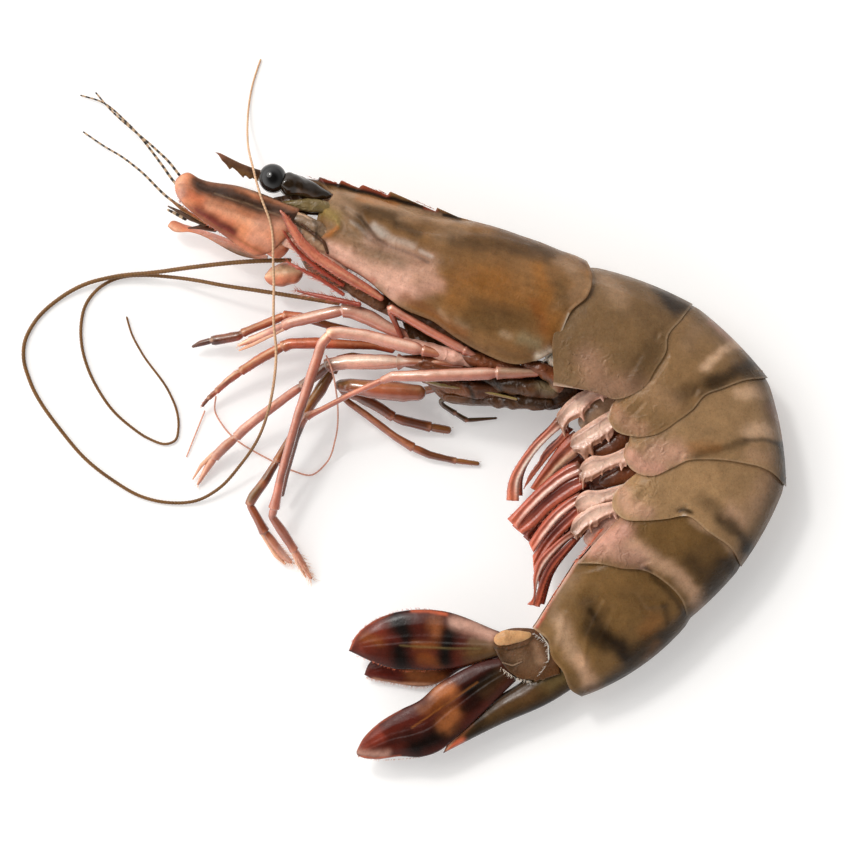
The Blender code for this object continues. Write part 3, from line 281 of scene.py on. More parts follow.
# Flat plates by their two edges: height at tip, middle and root, then x and y from tip to root.
BLADES = {
    "antennal_scale_L": (
        (14.2, 15.2, 14.8, -41.2, 39.8, -41, 40.9, -38.9, 42.3, -36.7, 41.2, -29.5, 39.8, -18.7, 35.8),
        (
            14.2, 14.2, 14.7, -41.2, 39.8, -41, 38.7, -40.3, 37.4, -36.7, 34, -33.1, 31.5, -25.6, 27.4,
            -24.1, 27.9, -21.6, 30.2, -19.1, 33.5,
        ),
    ),
    "antennal_scale_R": (
        (3.6, 2.3, 3, -42.7, 32.9, -42.1, 33.7, -39.4, 33.1, -29.5, 29.7, -24.5, 27.5),
        (3.6, 7.3, 6, -42.7, 32.8, -41.8, 32, -38.5, 31.7, -28.6, 27.2, -24.8, 26.6),
    ),
    "tail_blade_outer_L": (
        (
            5.2, 7.1, 8.4, -10, -43.8, -8.8, -41.2, -7, -39.4, -5.2, -38.2, -2.5, -37.1, 1.1, -36.4,
            6.5, -36.5, 17.3, -40.3,
        ),
        (5.2, 6.8, 8.3, -10, -43.8, -4.3, -46.3, -1.6, -47, 1.1, -47.1, 9.2, -47, 17.3, -44.5),
    ),
    "tail_blade_outer_R": (
        (
            1.2, 2.2, 2.6, -7.2, -48.2, -6.5, -46.4, -4.3, -44.5, -0.7, -43.2, 6.5, -42.8, 13.7, -43.6,
            18.2, -44.6,
        ),
        (
            1.2, 1.9, 2.6, -7.2, -48.2, -6.1, -48.8, -2.9, -49.5, 5.6, -49.9, 7.4, -49.1, 10.1, -47.3,
            18.2, -45.4,
        ),
    ),
    "tail_blade_inner_L": (
        (
            6, 8.4, 8.4, -8.6, -61.9, -7.6, -59.9, -4.7, -56.9, -0.7, -54.4, 2.9, -52.6, 5.8, -50,
            9.2, -47.9, 12.8, -46.1, 18.7, -44.5,
        ),
        (
            6, 7.9, 8.4, -8.6, -61.9, -8.5, -62.5, -7.6, -63, -5.2, -63.3, -0.7, -62.8, 2.9, -62.9,
            4.7, -62.5, 6.5, -61.7, 8.8, -59.9, 20.2, -49.1,
        ),
    ),
    "tail_blade_inner_R": (
        (2.4, 3.3, 4.4, -6.8, -61.9, -5.4, -59.4, -1.6, -56.5, 13.7, -48.2, 18.2, -46.8),
        (2.4, 3.4, 4.4, -6.8, -62.1, -3.4, -62.6, 3.8, -62.5, 8.3, -59.8, 18.4, -50.8),
    ),
    "tail_spike": (
        (
            5.8, 6.5, 7.2, 7, -62.3, 8.1, -60.1, 11.9, -56.2, 16.4, -52.4, 20.9, -49.5, 25.4, -46.1,
            29.2, -44.6,
        ),
        (5.8, 6.6, 7.2, 7, -62.3, 17.3, -57.1, 26.3, -53.1, 31.7, -49.7),
    ),
    "tail_joint_L": (
        (9, 9.6, 9.8, 16, -42.1, 16.7, -40.7, 18.7, -39.8, 21.8, -39.6, 27.4, -40.7),
        (9, 9.4, 9.8, 16, -42.8, 17.3, -45.4, 18.7, -47.3, 20.9, -48.6, 23.8, -49, 28.1, -47.9),
    ),
    "tail_joint_R": (
        (4.2, 4.5, 4.8, 16.2, -42.1, 18.2, -40.3, 20.9, -40, 24.1, -40.7, 27.4, -41),
        (4.2, 4.4, 4.6, 16.2, -42.8, 17.8, -46.1, 20.5, -49, 28.1, -48.2),
    ),
    "swimming_blade_1": (
        (
            10.2, 11.5, 12.4, 18.4, -16.7, 18.7, -13.7, 19.3, -11.9, 20.2, -10.3, 23, -6.5, 25.7, -3.8,
            27.4, -1.6,
        ),
        (10, 11.2, 12.3, 20.7, -16.8, 20.8, -13.5, 21.4, -11.7, 22.3, -10.1, 26.6, -5, 29.5, -2.7),
    ),
    "swimming_inner_1": (
        (9.6, 10.8, 11.8, 21.4, -14.8, 22.7, -11.7, 24.1, -9.9, 24.7, -8.5, 27.7, -5.4, 28.6, -4.1),
        (9.6, 10.4, 11.6, 21.4, -14.8, 27.7, -7, 29.9, -4.7),
    ),
    "swimming_blade_2": (
        (9.8, 10.6, 11.6, 22.7, -14.4, 25.2, -10.6, 29.3, -5.2, 30.6, -4.1),
        (9.6, 10.3, 11.5, 23.9, -15.1, 29.5, -9.9, 31, -8.8, 32.4, -7),
    ),
    "swimming_blade_3": (
        (12, 12.5, 13.2, 18.5, -20, 27.4, -11.5, 29.2, -10.3, 31.3, -9.4),
        (11.8, 12.8, 13.3, 20.5, -21.8, 21.4, -20.2, 22.9, -18.4, 26.8, -14.8, 28.8, -13.3, 32.6, -11.5),
    ),
    "swimming_inner_3": (
        (10.8, 11.5, 12.4, 19.4, -21.2, 26.6, -14.4, 29.2, -12.6, 31.7, -11.7),
        (10.9, 11.4, 12.3, 21.2, -22.7, 23, -21.6, 26.6, -18.2, 32.9, -14),
    ),
    "swimming_blade_4": (
        (10.6, 11.6, 12.2, 22.4, -24.3, 23.8, -22.1, 26.5, -18.7, 29.9, -16, 31.5, -15.1),
        (10.6, 11.9, 12.4, 23.3, -26.1, 25.9, -22.3, 30.6, -17.8, 32.6, -16.7),
    ),
    "swimming_inner_4": (
        (9.8, 10.6, 11.6, 23.1, -26.6, 25, -23.4, 30.6, -17.8),
        (9.8, 10.5, 11.8, 23.4, -30.4, 25.9, -25.9, 27.5, -23.9, 32.6, -18.7),
    ),
    "swimming_blade_5": (
        (10.6, 11.6, 12.8, 22.1, -35.4, 22.9, -34.6, 23.3, -30.1, 23.9, -27.7, 26.8, -24.5, 30.1, -21.8),
        (10.5, 11.5, 12.8, 23.4, -35.6, 24.8, -29.2, 26.1, -27.2, 27.7, -25.4, 29.3, -23.9, 31.1, -22.9),
    ),
    "swimming_inner_5": (
        (10, 10.8, 12.3, 23.2, -35.6, 24.7, -30.6, 25.7, -28.4, 30.4, -23.2),
        (10, 10.8, 12.2, 24.4, -35.9, 26.1, -30.4, 31, -23.8),
    ),
    "swimming_stalk_1": (
        (12.6, 13.3, 12.4, 27.5, -2.3, 27.4, -1.4, 28.3, 0, 31.7, 2.9, 33.3, 3.6, 36, 4.3),
        (12.6, 13, 12.4, 27.5, -2.3, 28.6, -4, 29.9, -2.5, 31.7, -1.6, 34.4, 1.3, 36.4, 2),
    ),
    "swimming_stalk_2": (
        (12, 12.5, 12, 29.9, -6.8, 30.2, -5, 31.7, -3.8, 37.1, -0.4, 40, 1.1),
        (12, 12.4, 12, 29.9, -6.8, 30.6, -7.9, 33.8, -7, 35.5, -6.1, 37.3, -4.3, 40, -2.2),
    ),
    "swimming_stalk_3": (
        (13.2, 13.2, 12.8, 31.1, -11.3, 32.4, -9.5, 33.8, -8.6, 35.6, -8.6, 41.4, -6.3),
        (13.2, 13.2, 12.8, 31.1, -11.3, 32, -13, 37.8, -10.6, 41.4, -9.7),
    ),
    "swimming_stalk_4": (
        (12.8, 12.7, 12, 30.6, -17.3, 31.3, -15.8, 32.8, -14.8, 34.6, -14.8, 40.7, -13.3),
        (12.8, 12.5, 12, 30.6, -17.3, 31.5, -18.7, 37.1, -16.9, 40.7, -16.2),
    ),
    "swimming_stalk_5": (
        (13, 13.2, 12.8, 29.9, -22, 30.4, -20.2, 32.2, -18.5, 34, -17.6, 38.5, -16.6),
        (13, 13, 12.6, 29.9, -22, 31.1, -23.4, 32.8, -22, 38.5, -18.7),
    ),
}
# Colour marks of each piece: tint, strength, half width in mm, then x and y of each point of its route.
MARKS = {
    "head_shield": (
        ("lilac", 0.85, 2.9, -13, 27, -1, 22), ("rose", 0.55, 1.6, -2, 21, 3, 21, 6, 22),
        ("lilac", 0.5, 2.2, -1, 25, 4, 24), ("grey", 0.7, 2.2, -11, 33, -5, 28, -1, 27),
        ("olive_deep", 0.75, 1.6, -10.5, 36.5, -1.5, 34), ("tan", 0.6, 0.9, -12.4, 38.7, 8.3, 33.8),
        ("ochre", 0.8, 0.72, -8.3, 38, -1.4, 36.7), ("black", 0.97, 0.58, -18.7, 41.8, -0.7, 37.4, 9.7, 34),
        ("red", 0.6, 0.36, -14.8, 41, -11.9, 40.7), ("red", 0.65, 0.36, -11.2, 40.7, -8.3, 40),
        ("red", 0.65, 0.43, -7.6, 39.8, -2.9, 38.5), ("red", 0.5, 0.36, 3.8, 36, 5.8, 35.6),
        ("tan", 0.5, 0.4, -10.6, 38.7, -2.5, 36.5, 6.5, 34.9), ("olive_deep", 0.75, 1.3, -1, 33, 2.5, 31.5),
        ("tan", 0.3, 0.72, -0.7, 33.8, 6.5, 33.5, 11.9, 32.8),
        ("olive_deep", 0.6, 1.6, 9, 30, 20, 29, 25.5, 27.5), ("olive_deep", 0.5, 1.3, 17.5, 31.5, 28, 27.5),
        ("grey", 0.5, 1.6, 6.5, 31, 10, 32), ("orange", 0.75, 2.9, 10, 23, 16, 23),
        ("orange", 0.6, 3.6, 17, 21, 21, 19), ("orange", 0.75, 1.4, 24, 25, 25.5, 21, 25, 17.5),
        ("orange", 0.55, 1.8, 8.5, 19.5, 12, 17.5), ("rust", 0.55, 1.3, 23.5, 18.5, 25.5, 14),
        ("olive", 0.75, 2.5, 12, 16, 17, 15, 21, 16), ("olive_deep", 0.4, 1.8, 13.5, 18.5, 18, 17.5),
        ("pale", 0.5, 0.72, 17.8, 13.3, 18.7, 12.8), ("pale", 0.4, 0.54, 6.5, 17.3, 7.6, 15.8),
        ("blue_grey", 0.7, 1.4, 21, 12.5, 23.5, 11.5), ("pale", 0.3, 0.9, 9.2, 15.5, 11, 14.4),
        ("brown", 0.6, 0.72, -4.7, 21.2, -0.7, 17.8, 4.7, 15.5, 14.6, 9.9),
        ("rust", 0.5, 1.1, 0, 20, 10.5, 13.5), ("grey", 0.5, 1.6, 30.5, 25, 32, 22, 30, 19.5),
        ("tan", 0.4, 1.1, 28, 26.5, 30, 25),
        ("brown", 0.7, 0.36, 32.2, 26.3, 33.5, 24.5, 33.8, 21.6, 32.8, 19.6, 30.4, 17.5),
        ("olive", 0.6, 1.4, 28, 22, 28.5, 18.5), ("orange", 0.7, 1.4, 27, 16, 26.5, 12),
        # The wide cream mark at the shield's lower rear corner is a painted highlight; the thin one is the
        # pale seam of the rear rim.
        ("cream", 0.8, 1.1, 24.5, 9, 26.5, 10), ("cream", 0.55, 0.18, 29.5, 16.9, 28.1, 13.1, 27.4, 9.4),
        # The silver marks on the shield are painted glints on its folds, and the thin black line among them
        # painted shade in a groove.
        ("silver", 0.3, 0.4, -9.4, 33.5, -8.3, 32.9, -6.1, 30.4),
        ("silver", 0.55, 0.81, -5.2, 32.4, -3.6, 31.3), ("silver", 0.35, 0.72, -2.5, 30.4, 1.8, 29),
        ("black", 0.65, 0.32, -10.4, 36.2, -7.9, 34.4, -5, 30.6, -2.5, 29, 1.1, 27.7, 4.3, 26.1),
        ("silver", 0.35, 0.29, -12.6, 25.9, -7.6, 23.8),
        ("olive_deep", 0.5, 0.9, -10.4, 35.6, -7.6, 33.5, -5.8, 31, -3.2, 28.8),
        ("yellow", 0.7, 1.3, -17.5, 35.5, -14, 35.5, -12.5, 34.5),
        ("yellow", 0.6, 0.4, -14, 35.3, -12.2, 34, -11.7, 32.6),
        ("ochre", 0.85, 0.43, -11.9, 32.4, -13.3, 31.1, -15.3, 30.1),
        ("red", 0.7, 0.72, -15.8, 29.2, -13.3, 27, -5.8, 22.5),
        ("tooth", 0.8, 0.54, -34.2, 46.1, -32.2, 45.2), ("beak", 0.9, 1.1, -32, 44.5, -25.5, 42),
        ("black", 0.5, 0.72, -27.4, 42.7, -21.4, 41.8), ("silver", 0.5, 0.43, 3.1, 28.1, 4.9, 27.2),
        ("lilac", 0.3, 1.6, -6, 30, 4.5, 26.5), ("tan", 0.7, 1.3, -13, 37.5, -9.5, 35.5),
        ("lilac", 0.7, 1.1, -14.5, 29.5, -10.5, 27.5),
    ),
    "tail_ring_1": (
        ("tan", 0.5, 2, 35, 25, 39, 20), ("grey", 0.5, 1.3, 35.5, 26, 40, 24.5),
        ("dark", 0.9, 1.8, 47, 19.5, 49, 18), ("dark", 0.6, 1.1, 45, 21, 51.5, 17.5),
        ("olive", 0.4, 2.5, 42, 19, 46, 14), ("rose", 0.25, 2.5, 33, 9, 35, 4, 41, 4),
        ("olive_deep", 0.4, 2.2, 44, 10, 42, 5),
    ),
    "tail_ring_2": (
        ("grey", 0.4, 1.6, 53.5, 16, 50.5, 11.5), ("rose", 0.5, 0.9, 55.4, 15.5, 59.6, 11.7),
        ("band", 0.9, 0.9, 60.8, 12.2, 57.2, 10.4, 54, 7.4), ("dark", 0.85, 1.7, 63.5, 8.5, 55.5, 4.5),
        ("dark", 0.6, 1.1, 65.5, 6, 61.5, 5.5), ("olive_deep", 0.6, 1.6, 56, 4.5, 49, 2.5),
        ("pink", 0.25, 1.6, 38, -0.5, 40, -3, 42.5, -4), ("rosetan", 0.2, 2.2, 44, 3, 48, 1),
        # The dark arc by the hinge knob of the ring before is a painted shadow.
        ("dark", 0.7, 0.25, 45.5, 12.1, 46.1, 13.1, 47, 13.5),
    ),
    "tail_ring_3": (
        ("band", 0.8, 1.1, 60, 2.5, 62.5, 3, 65, 2.5), ("rose", 0.5, 1.1, 66.5, 0.5, 67.5, -3),
        ("band", 0.95, 1.6, 62, -4.5, 65, -4, 67.5, -4.5),
        ("dark", 0.6, 0.45, 61.2, -5.8, 65, -5.8, 68, -6.7), ("rosetan", 0.5, 1.6, 62.5, -8.5, 65.5, -9),
        ("dark", 0.95, 0.81, 68, -6.8, 68.8, -10.3, 68.2, -13),
        ("olive_deep", 0.6, 0.9, 60.8, -6.3, 52.4, -8.3), ("ochre", 0.3, 1.1, 56, -7, 51.5, -7),
        ("pink", 0.7, 1.6, 40.5, -8.5, 42.5, -10.5, 45.5, -11), ("rose", 0.5, 2.2, 45, -8, 49, -8),
    ),
    "tail_ring_4": (
        ("rosetan", 0.6, 2.2, 66, -13, 63, -18), ("rosetan", 0.9, 1.6, 58.5, -18.5, 60.5, -20.5),
        ("dark", 0.75, 1.4, 57, -20, 60, -22.5, 62, -25), ("dark", 0.7, 1.1, 61.5, -25.5, 62.5, -26),
        ("olive_deep", 0.4, 1.6, 53.5, -16.5, 56, -18.5),
        # The cream dot on the hinge knob is a painted highlight, and the dark arc beside it a painted shadow.
        ("rose", 0.4, 1.6, 39, -15, 40.5, -18, 43.5, -18.5), ("cream", 0.85, 0.43, 50.2, -19.3),
        ("dark", 0.85, 0.36, 49.3, -18.5, 50.2, -18.2, 51.5, -18.7),
    ),
    "tail_ring_5": (
        ("band", 0.5, 0.72, 51.8, -20.2, 56, -22.5, 59.4, -25.9),
        ("rosetan", 0.95, 1.5, 40.5, -24.5, 48, -29, 52, -33, 53.5, -36.5),
        # The cream dot on the hinge knob is a painted highlight, and the dark arc beside it a painted shadow.
        ("dark", 0.75, 2, 57, -28, 55, -32), ("cream", 0.85, 0.43, 43, -29.7),
        ("dark", 0.85, 0.36, 41.9, -29.2, 43, -28.6, 44.3, -29.3),
        ("dark", 0.6, 1.1, 58.5, -27.5, 59.5, -29.5), ("olive_deep", 0.6, 1.6, 51.5, -27.5, 53.5, -30),
        ("brown", 0.6, 0.54, 58.7, -31, 54.7, -35.5), ("pink", 0.8, 2, 34, -25, 39, -22),
        ("rose", 0.5, 2.2, 38, -26, 42, -27), ("red", 0.8, 0.45, 36, -21.2, 30.6, -27.7),
    ),
    "tail_ring_6": (
        ("tan", 0.85, 1.5, 28, -38, 30.5, -44.5), ("rosetan", 0.95, 1.3, 31.5, -45.5, 34, -51),
        ("orange", 0.7, 0.9, 33.5, -50.8, 35.6, -51.1), ("olive_deep", 0.6, 2.2, 33, -35, 35, -39),
        ("dark", 0.8, 0.72, 33.5, -36.4, 34.4, -37.8), ("dark", 0.97, 1.6, 36, -41, 38.5, -42.5, 40, -45),
        ("dark", 0.7, 1.8, 33, -39.5, 35.5, -42.5), ("dark", 0.8, 2.2, 42, -44, 46, -41),
        ("dark", 0.7, 1.4, 40.5, -47.5, 37.5, -49.5), ("dark", 0.6, 0.9, 47.5, -40, 50.4, -37.4),
        ("dark", 0.55, 0.72, 46.8, -35.6, 47.2, -38.5),
        ("dark", 0.6, 0.72, 44.6, -30.1, 47.5, -32.8, 50.4, -36.7),
        ("orange", 0.6, 0.9, 45.7, -42.8, 43.6, -45.4), ("olive", 0.6, 2.5, 41, -33, 44, -36),
        ("ochre", 0.25, 1.6, 45, -38, 43.5, -40),
        ("red", 0.9, 0.4, 31, -27.4, 29.9, -29.5, 28.1, -31.5, 23.9, -39.2),
        ("grey", 0.5, 1.4, 26.5, -36.5, 27.5, -33, 30, -31),
    ),
    "antennal_scale_L": (
        ("maroon", 1, 1.3, -36.5, 35.5, -31, 31.5), ("coral", 0.5, 1.1, -38.5, 38.5, -31, 34),
        ("peach", 0.8, 1.1, -35, 36.5, -27, 33), ("lilac", 0.5, 1.8, -25.5, 33, -22, 33),
        ("rose", 0.5, 1.4, -26.5, 30.5, -24, 29.5), ("scale_stripe", 0.97, 1.7, -37, 40, -19, 34),
        ("maroon", 0.3, 0.54, -35.6, 36.9, -25.6, 33.8),
        ("red", 0.5, 0.72, -38.2, 35.8, -28.4, 29.2, -25.2, 27.7),
        ("grey", 0.85, 0.54, -35.6, 41.2, -30.4, 40.1, -25.6, 38.7, -19.1, 36.2),
        ("scale_stripe", 0.6, 1.1, -37, 40, -25.5, 36),
        ("tan", 0.4, 0.14, -34, 38.5, -27.7, 36.5, -21.4, 34.2),
        ("orange", 0.5, 0.18, -39.2, 36.7, -35.6, 33.7, -25.6, 27.9),
        ("pink", 0.9, 1.1, -40.5, 40.5, -40, 38), ("peach", 0.7, 0.72, -39.8, 41.6, -40.7, 40),
    ),
    "antennal_scale_R": (
        ("coral", 0.6, 0.54, -42.5, 33.7, -29.5, 29.7), ("peach", 0.9, 0.72, -42.5, 33.1, -41, 32.4),
        ("blue_grey", 0.9, 0.9, -38.9, 30.6, -27.7, 26.8),
    ),
    "tail_blade_outer_L": (
        ("red", 0.35, 2.2, -7, -42, -5, -40), ("rust", 0.6, 1.1, -7, -41.5, -4.5, -42),
        ("black", 0.98, 2, -1, -38, 0, -41), ("black", 0.98, 2, -1, -44, 0, -46),
        ("maroon", 0.6, 0.9, -3.4, -41.8, -1.1, -41.9), ("fan_orange", 0.5, 1.4, 5.5, -38.5, 6, -40.5),
        ("rust", 0.6, 0.72, 2, -42.7, 6.5, -42.8), ("rust", 0.5, 1.3, 3.5, -45, 6, -46),
        ("black", 0.98, 1.6, 8, -40.5, 7.5, -45.5), ("olive", 0.85, 2.2, 13, -44, 17, -44),
        ("lilac", 0.75, 1.4, 9.5, -38.5, 16, -41), ("grey", 0.5, 0.72, 11.9, -42.1, 15.5, -42.7),
        ("green", 0.6, 0.18, -0.7, -42.8, 6.5, -43.2, 13.7, -43.4),
        ("coral", 0.6, 0.22, -9.7, -43.4, -8.8, -41.2, -7, -39.4, -4.7, -38, -2.2, -36.9),
        ("coral", 0.8, 0.36, 1.4, -36.5, 4.3, -36.5, 7.6, -37.1),
    ),
    "tail_blade_outer_R": (
        ("maroon", 0.9, 1.6, -6, -48, -1, -48), ("fan_orange", 0.9, 1.6, 1.5, -48, 6.5, -49),
        ("peach", 0.7, 0.36, -5.8, -49.1, -0.7, -49.9, 6.1, -50),
    ),
    "tail_blade_inner_L": (
        ("maroon", 0.4, 2.5, -3, -59, 0, -56), ("black", 0.5, 1.3, -2, -60, 1, -58.5),
        ("rose", 0.6, 0.81, -7.9, -61.9, -3.2, -62.5), ("red", 0.5, 1.1, -7, -60.5, -4.5, -59),
        ("black", 0.97, 2.2, 2, -61, 8, -58), ("fan_orange", 0.95, 1.6, 6, -51.5, 8, -51),
        ("fan_orange", 0.9, 1.6, 7.5, -57, 9, -55), ("rust", 0.5, 1.1, 3, -54.5, 6, -53.5),
        ("black", 0.97, 1.8, 11.5, -51, 16, -48), ("black", 0.8, 1.3, 11, -54.5, 13.5, -52.5),
        ("olive_deep", 0.7, 1.8, 15, -51, 17.5, -48), ("ochre", 0.5, 0.14, 1.4, -57.6, 13.3, -49.3),
        ("coral", 0.5, 0.22, -8.5, -61.6, -7.6, -59.9, -6.1, -58.3, -4.3, -56.7, -0.7, -54.4),
        ("coral", 0.7, 0.22, -7.9, -62.8, -5.2, -63.2, -0.7, -62.8),
    ),
    "tail_spike": (
        ("black", 0.7, 1.8, 13.5, -54.5, 15.5, -53.5), ("brown", 0.6, 1.6, 18, -53.5, 22.5, -51.5),
        ("green", 0.5, 1.6, 25.5, -49.5, 28.5, -48.5), ("black", 0.9, 0.9, 11.9, -60.5, 26.6, -53.3),
        ("olive", 0.5, 1.1, 15.5, -55.5, 25.5, -50.5), ("coral", 0.95, 0.81, 8.1, -61.4, 10.4, -59.9),
        ("fan_orange", 0.6, 0.54, 10.1, -58.7, 11.9, -56.9), ("black", 0.5, 0.9, 11.5, -59.4, 13.7, -58),
        ("peach", 0.9, 0.2, 7.6, -61.6, 9.7, -58.9, 13.3, -55.3),
    ),
    "tail_joint_L": (
        ("grey", 0.35, 2.2, 21, -45, 23, -46), ("olive_deep", 0.6, 0.9, 17.3, -44.5, 19.1, -46.8),
        ("olive_deep", 0.8, 0.18, 16.2, -43.2, 19.1, -43.6, 22.3, -42.7, 23.4, -41),
        ("rosetan", 0.4, 0.9, 23.8, -42.7, 24.5, -45.4),
    ),
    "walking_leg_01": (
        ("peach", 0.9, 0.72, -30.1, 11.2, -25.6, 12.8), ("leg_red", 0.6, 0.54, -24.1, 13.7, -21.8, 14.8),
        ("leg_pale", 0.75, 1.6, -9.5, 16, -2, 15),
    ),
    "walking_leg_02": (
        ("peach", 0.95, 0.9, -37.3, -14, -34.7, -10.1), ("leg_brown", 0.6, 1.1, -33, -8, -31, -6),
        ("leg_red", 0.6, 0.54, -25.9, -1.1, -19.1, 3.6), ("leg_dark", 0.9, 1.4, -18, 4.5, -14, 7.5),
        ("leg_pale", 0.9, 1.8, -10.5, 8.5, -1, 8), ("leg_brown", 0.6, 1.4, 2, 8, 11, 7.5),
    ),
    "walking_leg_03": (
        ("peach", 0.95, 1.4, -16.5, -31, -20.5, -26),
        ("leg_brown", 0.7, 1.1, -21, -24.5, -23.5, -20), ("leg_dark", 0.5, 0.72, -21.8, -13, -15.5, 5.9),
        ("peach", 0.6, 0.63, -14.4, 12.6, -13.3, 13.7), ("leg_pale", 0.8, 1.6, -10.5, 13, 1, 11.5),
        ("leg_brown", 0.7, 1.4, 4.5, 10.5, 11, 9),
        ("leg_red", 0.5, 0.29, -23.2, -18, -20.5, -5.8, -15.5, 8.6),
    ),
    "walking_leg_04": (
        ("leg_dark", 0.8, 1.1, -22, -16.5, -18.5, -4),
        ("leg_red", 0.8, 0.72, -16.9, -1.3, -10.6, 2.2, -4.3, 5),
        ("leg_pale", 0.2, 0.9, -0.7, 5.8, 13.7, 6.3), ("tan", 0.7, 1.3, 18, 6.5, 22.5, 6.5),
    ),
    "walking_leg_05": (
        ("leg_red", 0.7, 0.72, -0.4, 12.6, -2.5, 16.7), ("leg_red", 0.6, 0.72, -0.7, 16.2, 9.7, 11.9),
        ("tan", 0.6, 0.9, 13.7, 10.1, 18.2, 7.7),
    ),
    "walking_leg_06": (
        ("peach", 0.95, 1.4, -20, -28, -24, -24), ("white", 0.6, 0.54, -20.9, -27, -22.3, -25.4),
        ("leg_brown", 0.8, 1.3, -25, -22.5, -27, -19.5), ("olive", 0.8, 1.1, -27.5, -16, -26.5, -15),
        ("leg_dark", 0.8, 1.1, -25, -12.5, -23, -10.5), ("leg_dark", 0.85, 1.1, -21.5, -8, -19, -3.5),
        ("orange", 0.85, 1.6, -17.5, -0.5, -13, 6), ("olive", 0.85, 1.8, -13, 7.5, -9.5, 9),
    ),
    "walking_leg_07": (
        ("orange", 0.8, 1.1, 8.5, -4.5, 5, -3.5), ("leg_dark", 0.7, 1.1, 3.5, -3, 0, -2.5),
        ("leg_brown", 0.7, 1.1, -0.5, -2, -2.5, -1.5), ("leg_dark", 0.6, 0.9, -3.4, -0.7, -7.6, 1.4),
        ("olive", 0.7, 1.1, -11.5, 4.5), ("leg_red", 0.6, 1.6, -6, 3.5, 1, 3),
        ("peach", 0.5, 0.25, -9.7, 4.9, -2.5, 4.5, 2.9, 3.6),
    ),
    "walking_leg_08": (
        ("orange", 0.8, 0.9, 13.7, -10.3, 9.7, -9.5), ("leg_dark", 0.7, 0.9, 8.3, -9.2, 3.8, -7.9),
        ("peach", 0.6, 0.22, 1.1, -7, -4.3, -3.2, -8.8, 0.2),
    ),
    "jaw_leg_L": (
        ("dark", 0.8, 0.72, -36.5, 0, -35.3, 2), ("leg_dark", 0.7, 0.54, -34.6, 2.9, -30.2, 6.5),
        ("peach", 0.7, 0.18, -34.2, 3.6, -29.5, 7.2, -22, 11.5),
        ("leg_brown", 0.8, 0.9, -29.5, 6.7, -21.8, 10.8), ("coral", 0.5, 0.9, -20.2, 12.1, -13.3, 11.9),
        ("leg_brown", 0.6, 1.1, -11.5, 11, -6, 11),
    ),
    "jaw_leg_R": (
        ("dark", 0.8, 1.1, -38.5, 11, -34.5, 12), ("leg_dark", 0.85, 1.1, -34, 12, -30, 13.5),
        ("leg_brown", 0.7, 1.1, -28.5, 14, -22.5, 16), ("orange", 0.6, 1.3, -16.5, 15.5, -9.5, 14),
    ),
    "feeler_stalk_L": (("maroon", 0.7, 0.9, -36.7, 36.4, -32.2, 36),),
    "face": (
        ("dark", 0.7, 0.4, -21.2, 35.3, -18.7, 32.4, -18, 29.5),
        ("dark", 0.6, 0.36, -17.3, 34.9, -15.5, 32.8, -15.8, 30.2),
    ),
    "eye_L": (("brown", 0.5, 0.54, -18.7, 38.9, -14.2, 37.4),),
    "breast": (
        ("rust", 0.5, 1.4, 4, 3.5, 10, 3), ("dark", 0.8, 0.36, 9.7, 5.8, 11.9, 3.6, 12.6, 1.1),
        ("dark", 0.8, 0.36, 16.2, 5.4, 17.6, 3.2, 18, 1.1), ("dark", 0.7, 0.9, 20.9, 1.1, 28.1, 0),
        ("dark", 0.7, 0.72, 6.5, 5.8, 17.3, 4.3, 26.3, 4.7), ("blue_grey", 0.6, 1.1, 24.5, 4, 26.5, 3),
    ),
    "mouth_palp": (
        ("maroon", 0.5, 0.36, -22, 34.6, -20.2, 30.2, -16.9, 26.3, -10.6, 22.1, -3.4, 18),
        ("peach", 0.6, 0.22, -20.9, 33.1, -19.1, 29.7, -15.5, 26.6, -9.7, 23.4, -4.3, 19.8),
        ("pink", 0.4, 0.54, -15.1, 25.9, -9.4, 22.7),
    ),
}

# Saw-toothed crest of the head shield and the notched lower edge of its beak, from front to rear, in XY.
CREST = points_of(2, (
    -34.1, 46.1, -33.1, 45.9, -31.3, 45, -29.5, 44.1, -27.7, 43.4, -26.1, 42.9, -24.1, 42.4, -21.4, 41.9,
    -18.7, 41.5, -15.4, 41, -15.2, 41.6, -11.7, 40.3, -11.3, 41, -7.9, 39.4, -7.7, 40.3, -2.9, 38.3,
    -2.5, 39, 5.7, 35.4, 5.9, 36.1, 9.7, 34.4, 11.9, 33.8, 15.5, 32.9, 18.4, 32, 20.9, 31.1, 24.5, 29.9,
    28.1, 28.4, 30.8, 27.5, 32.9, 26.5,
))
BEAK_EDGE = points_of(2, (
    -34.1, 45.9, -33.3, 45.2, -32.8, 44.5, -32, 43.8, -31.3, 42.8, -31, 43.4, -30.1, 42.7, -28.9, 41.4,
    -28.6, 42, -27.7, 41.1, -27.4, 41.5, -26.3, 40.9, -24, 40.9,
))

# Half width of the body along a rib: share of the rib from back to belly, share of the width.
RIB_PROFILE = ((0, 0), (0.03, 0.27), (0.08, 0.46), (0.18, 0.71), (0.4, 0.96), (0.6, 1.0), (0.8, 0.96),
               (0.92, 0.87), (1, 0.76))

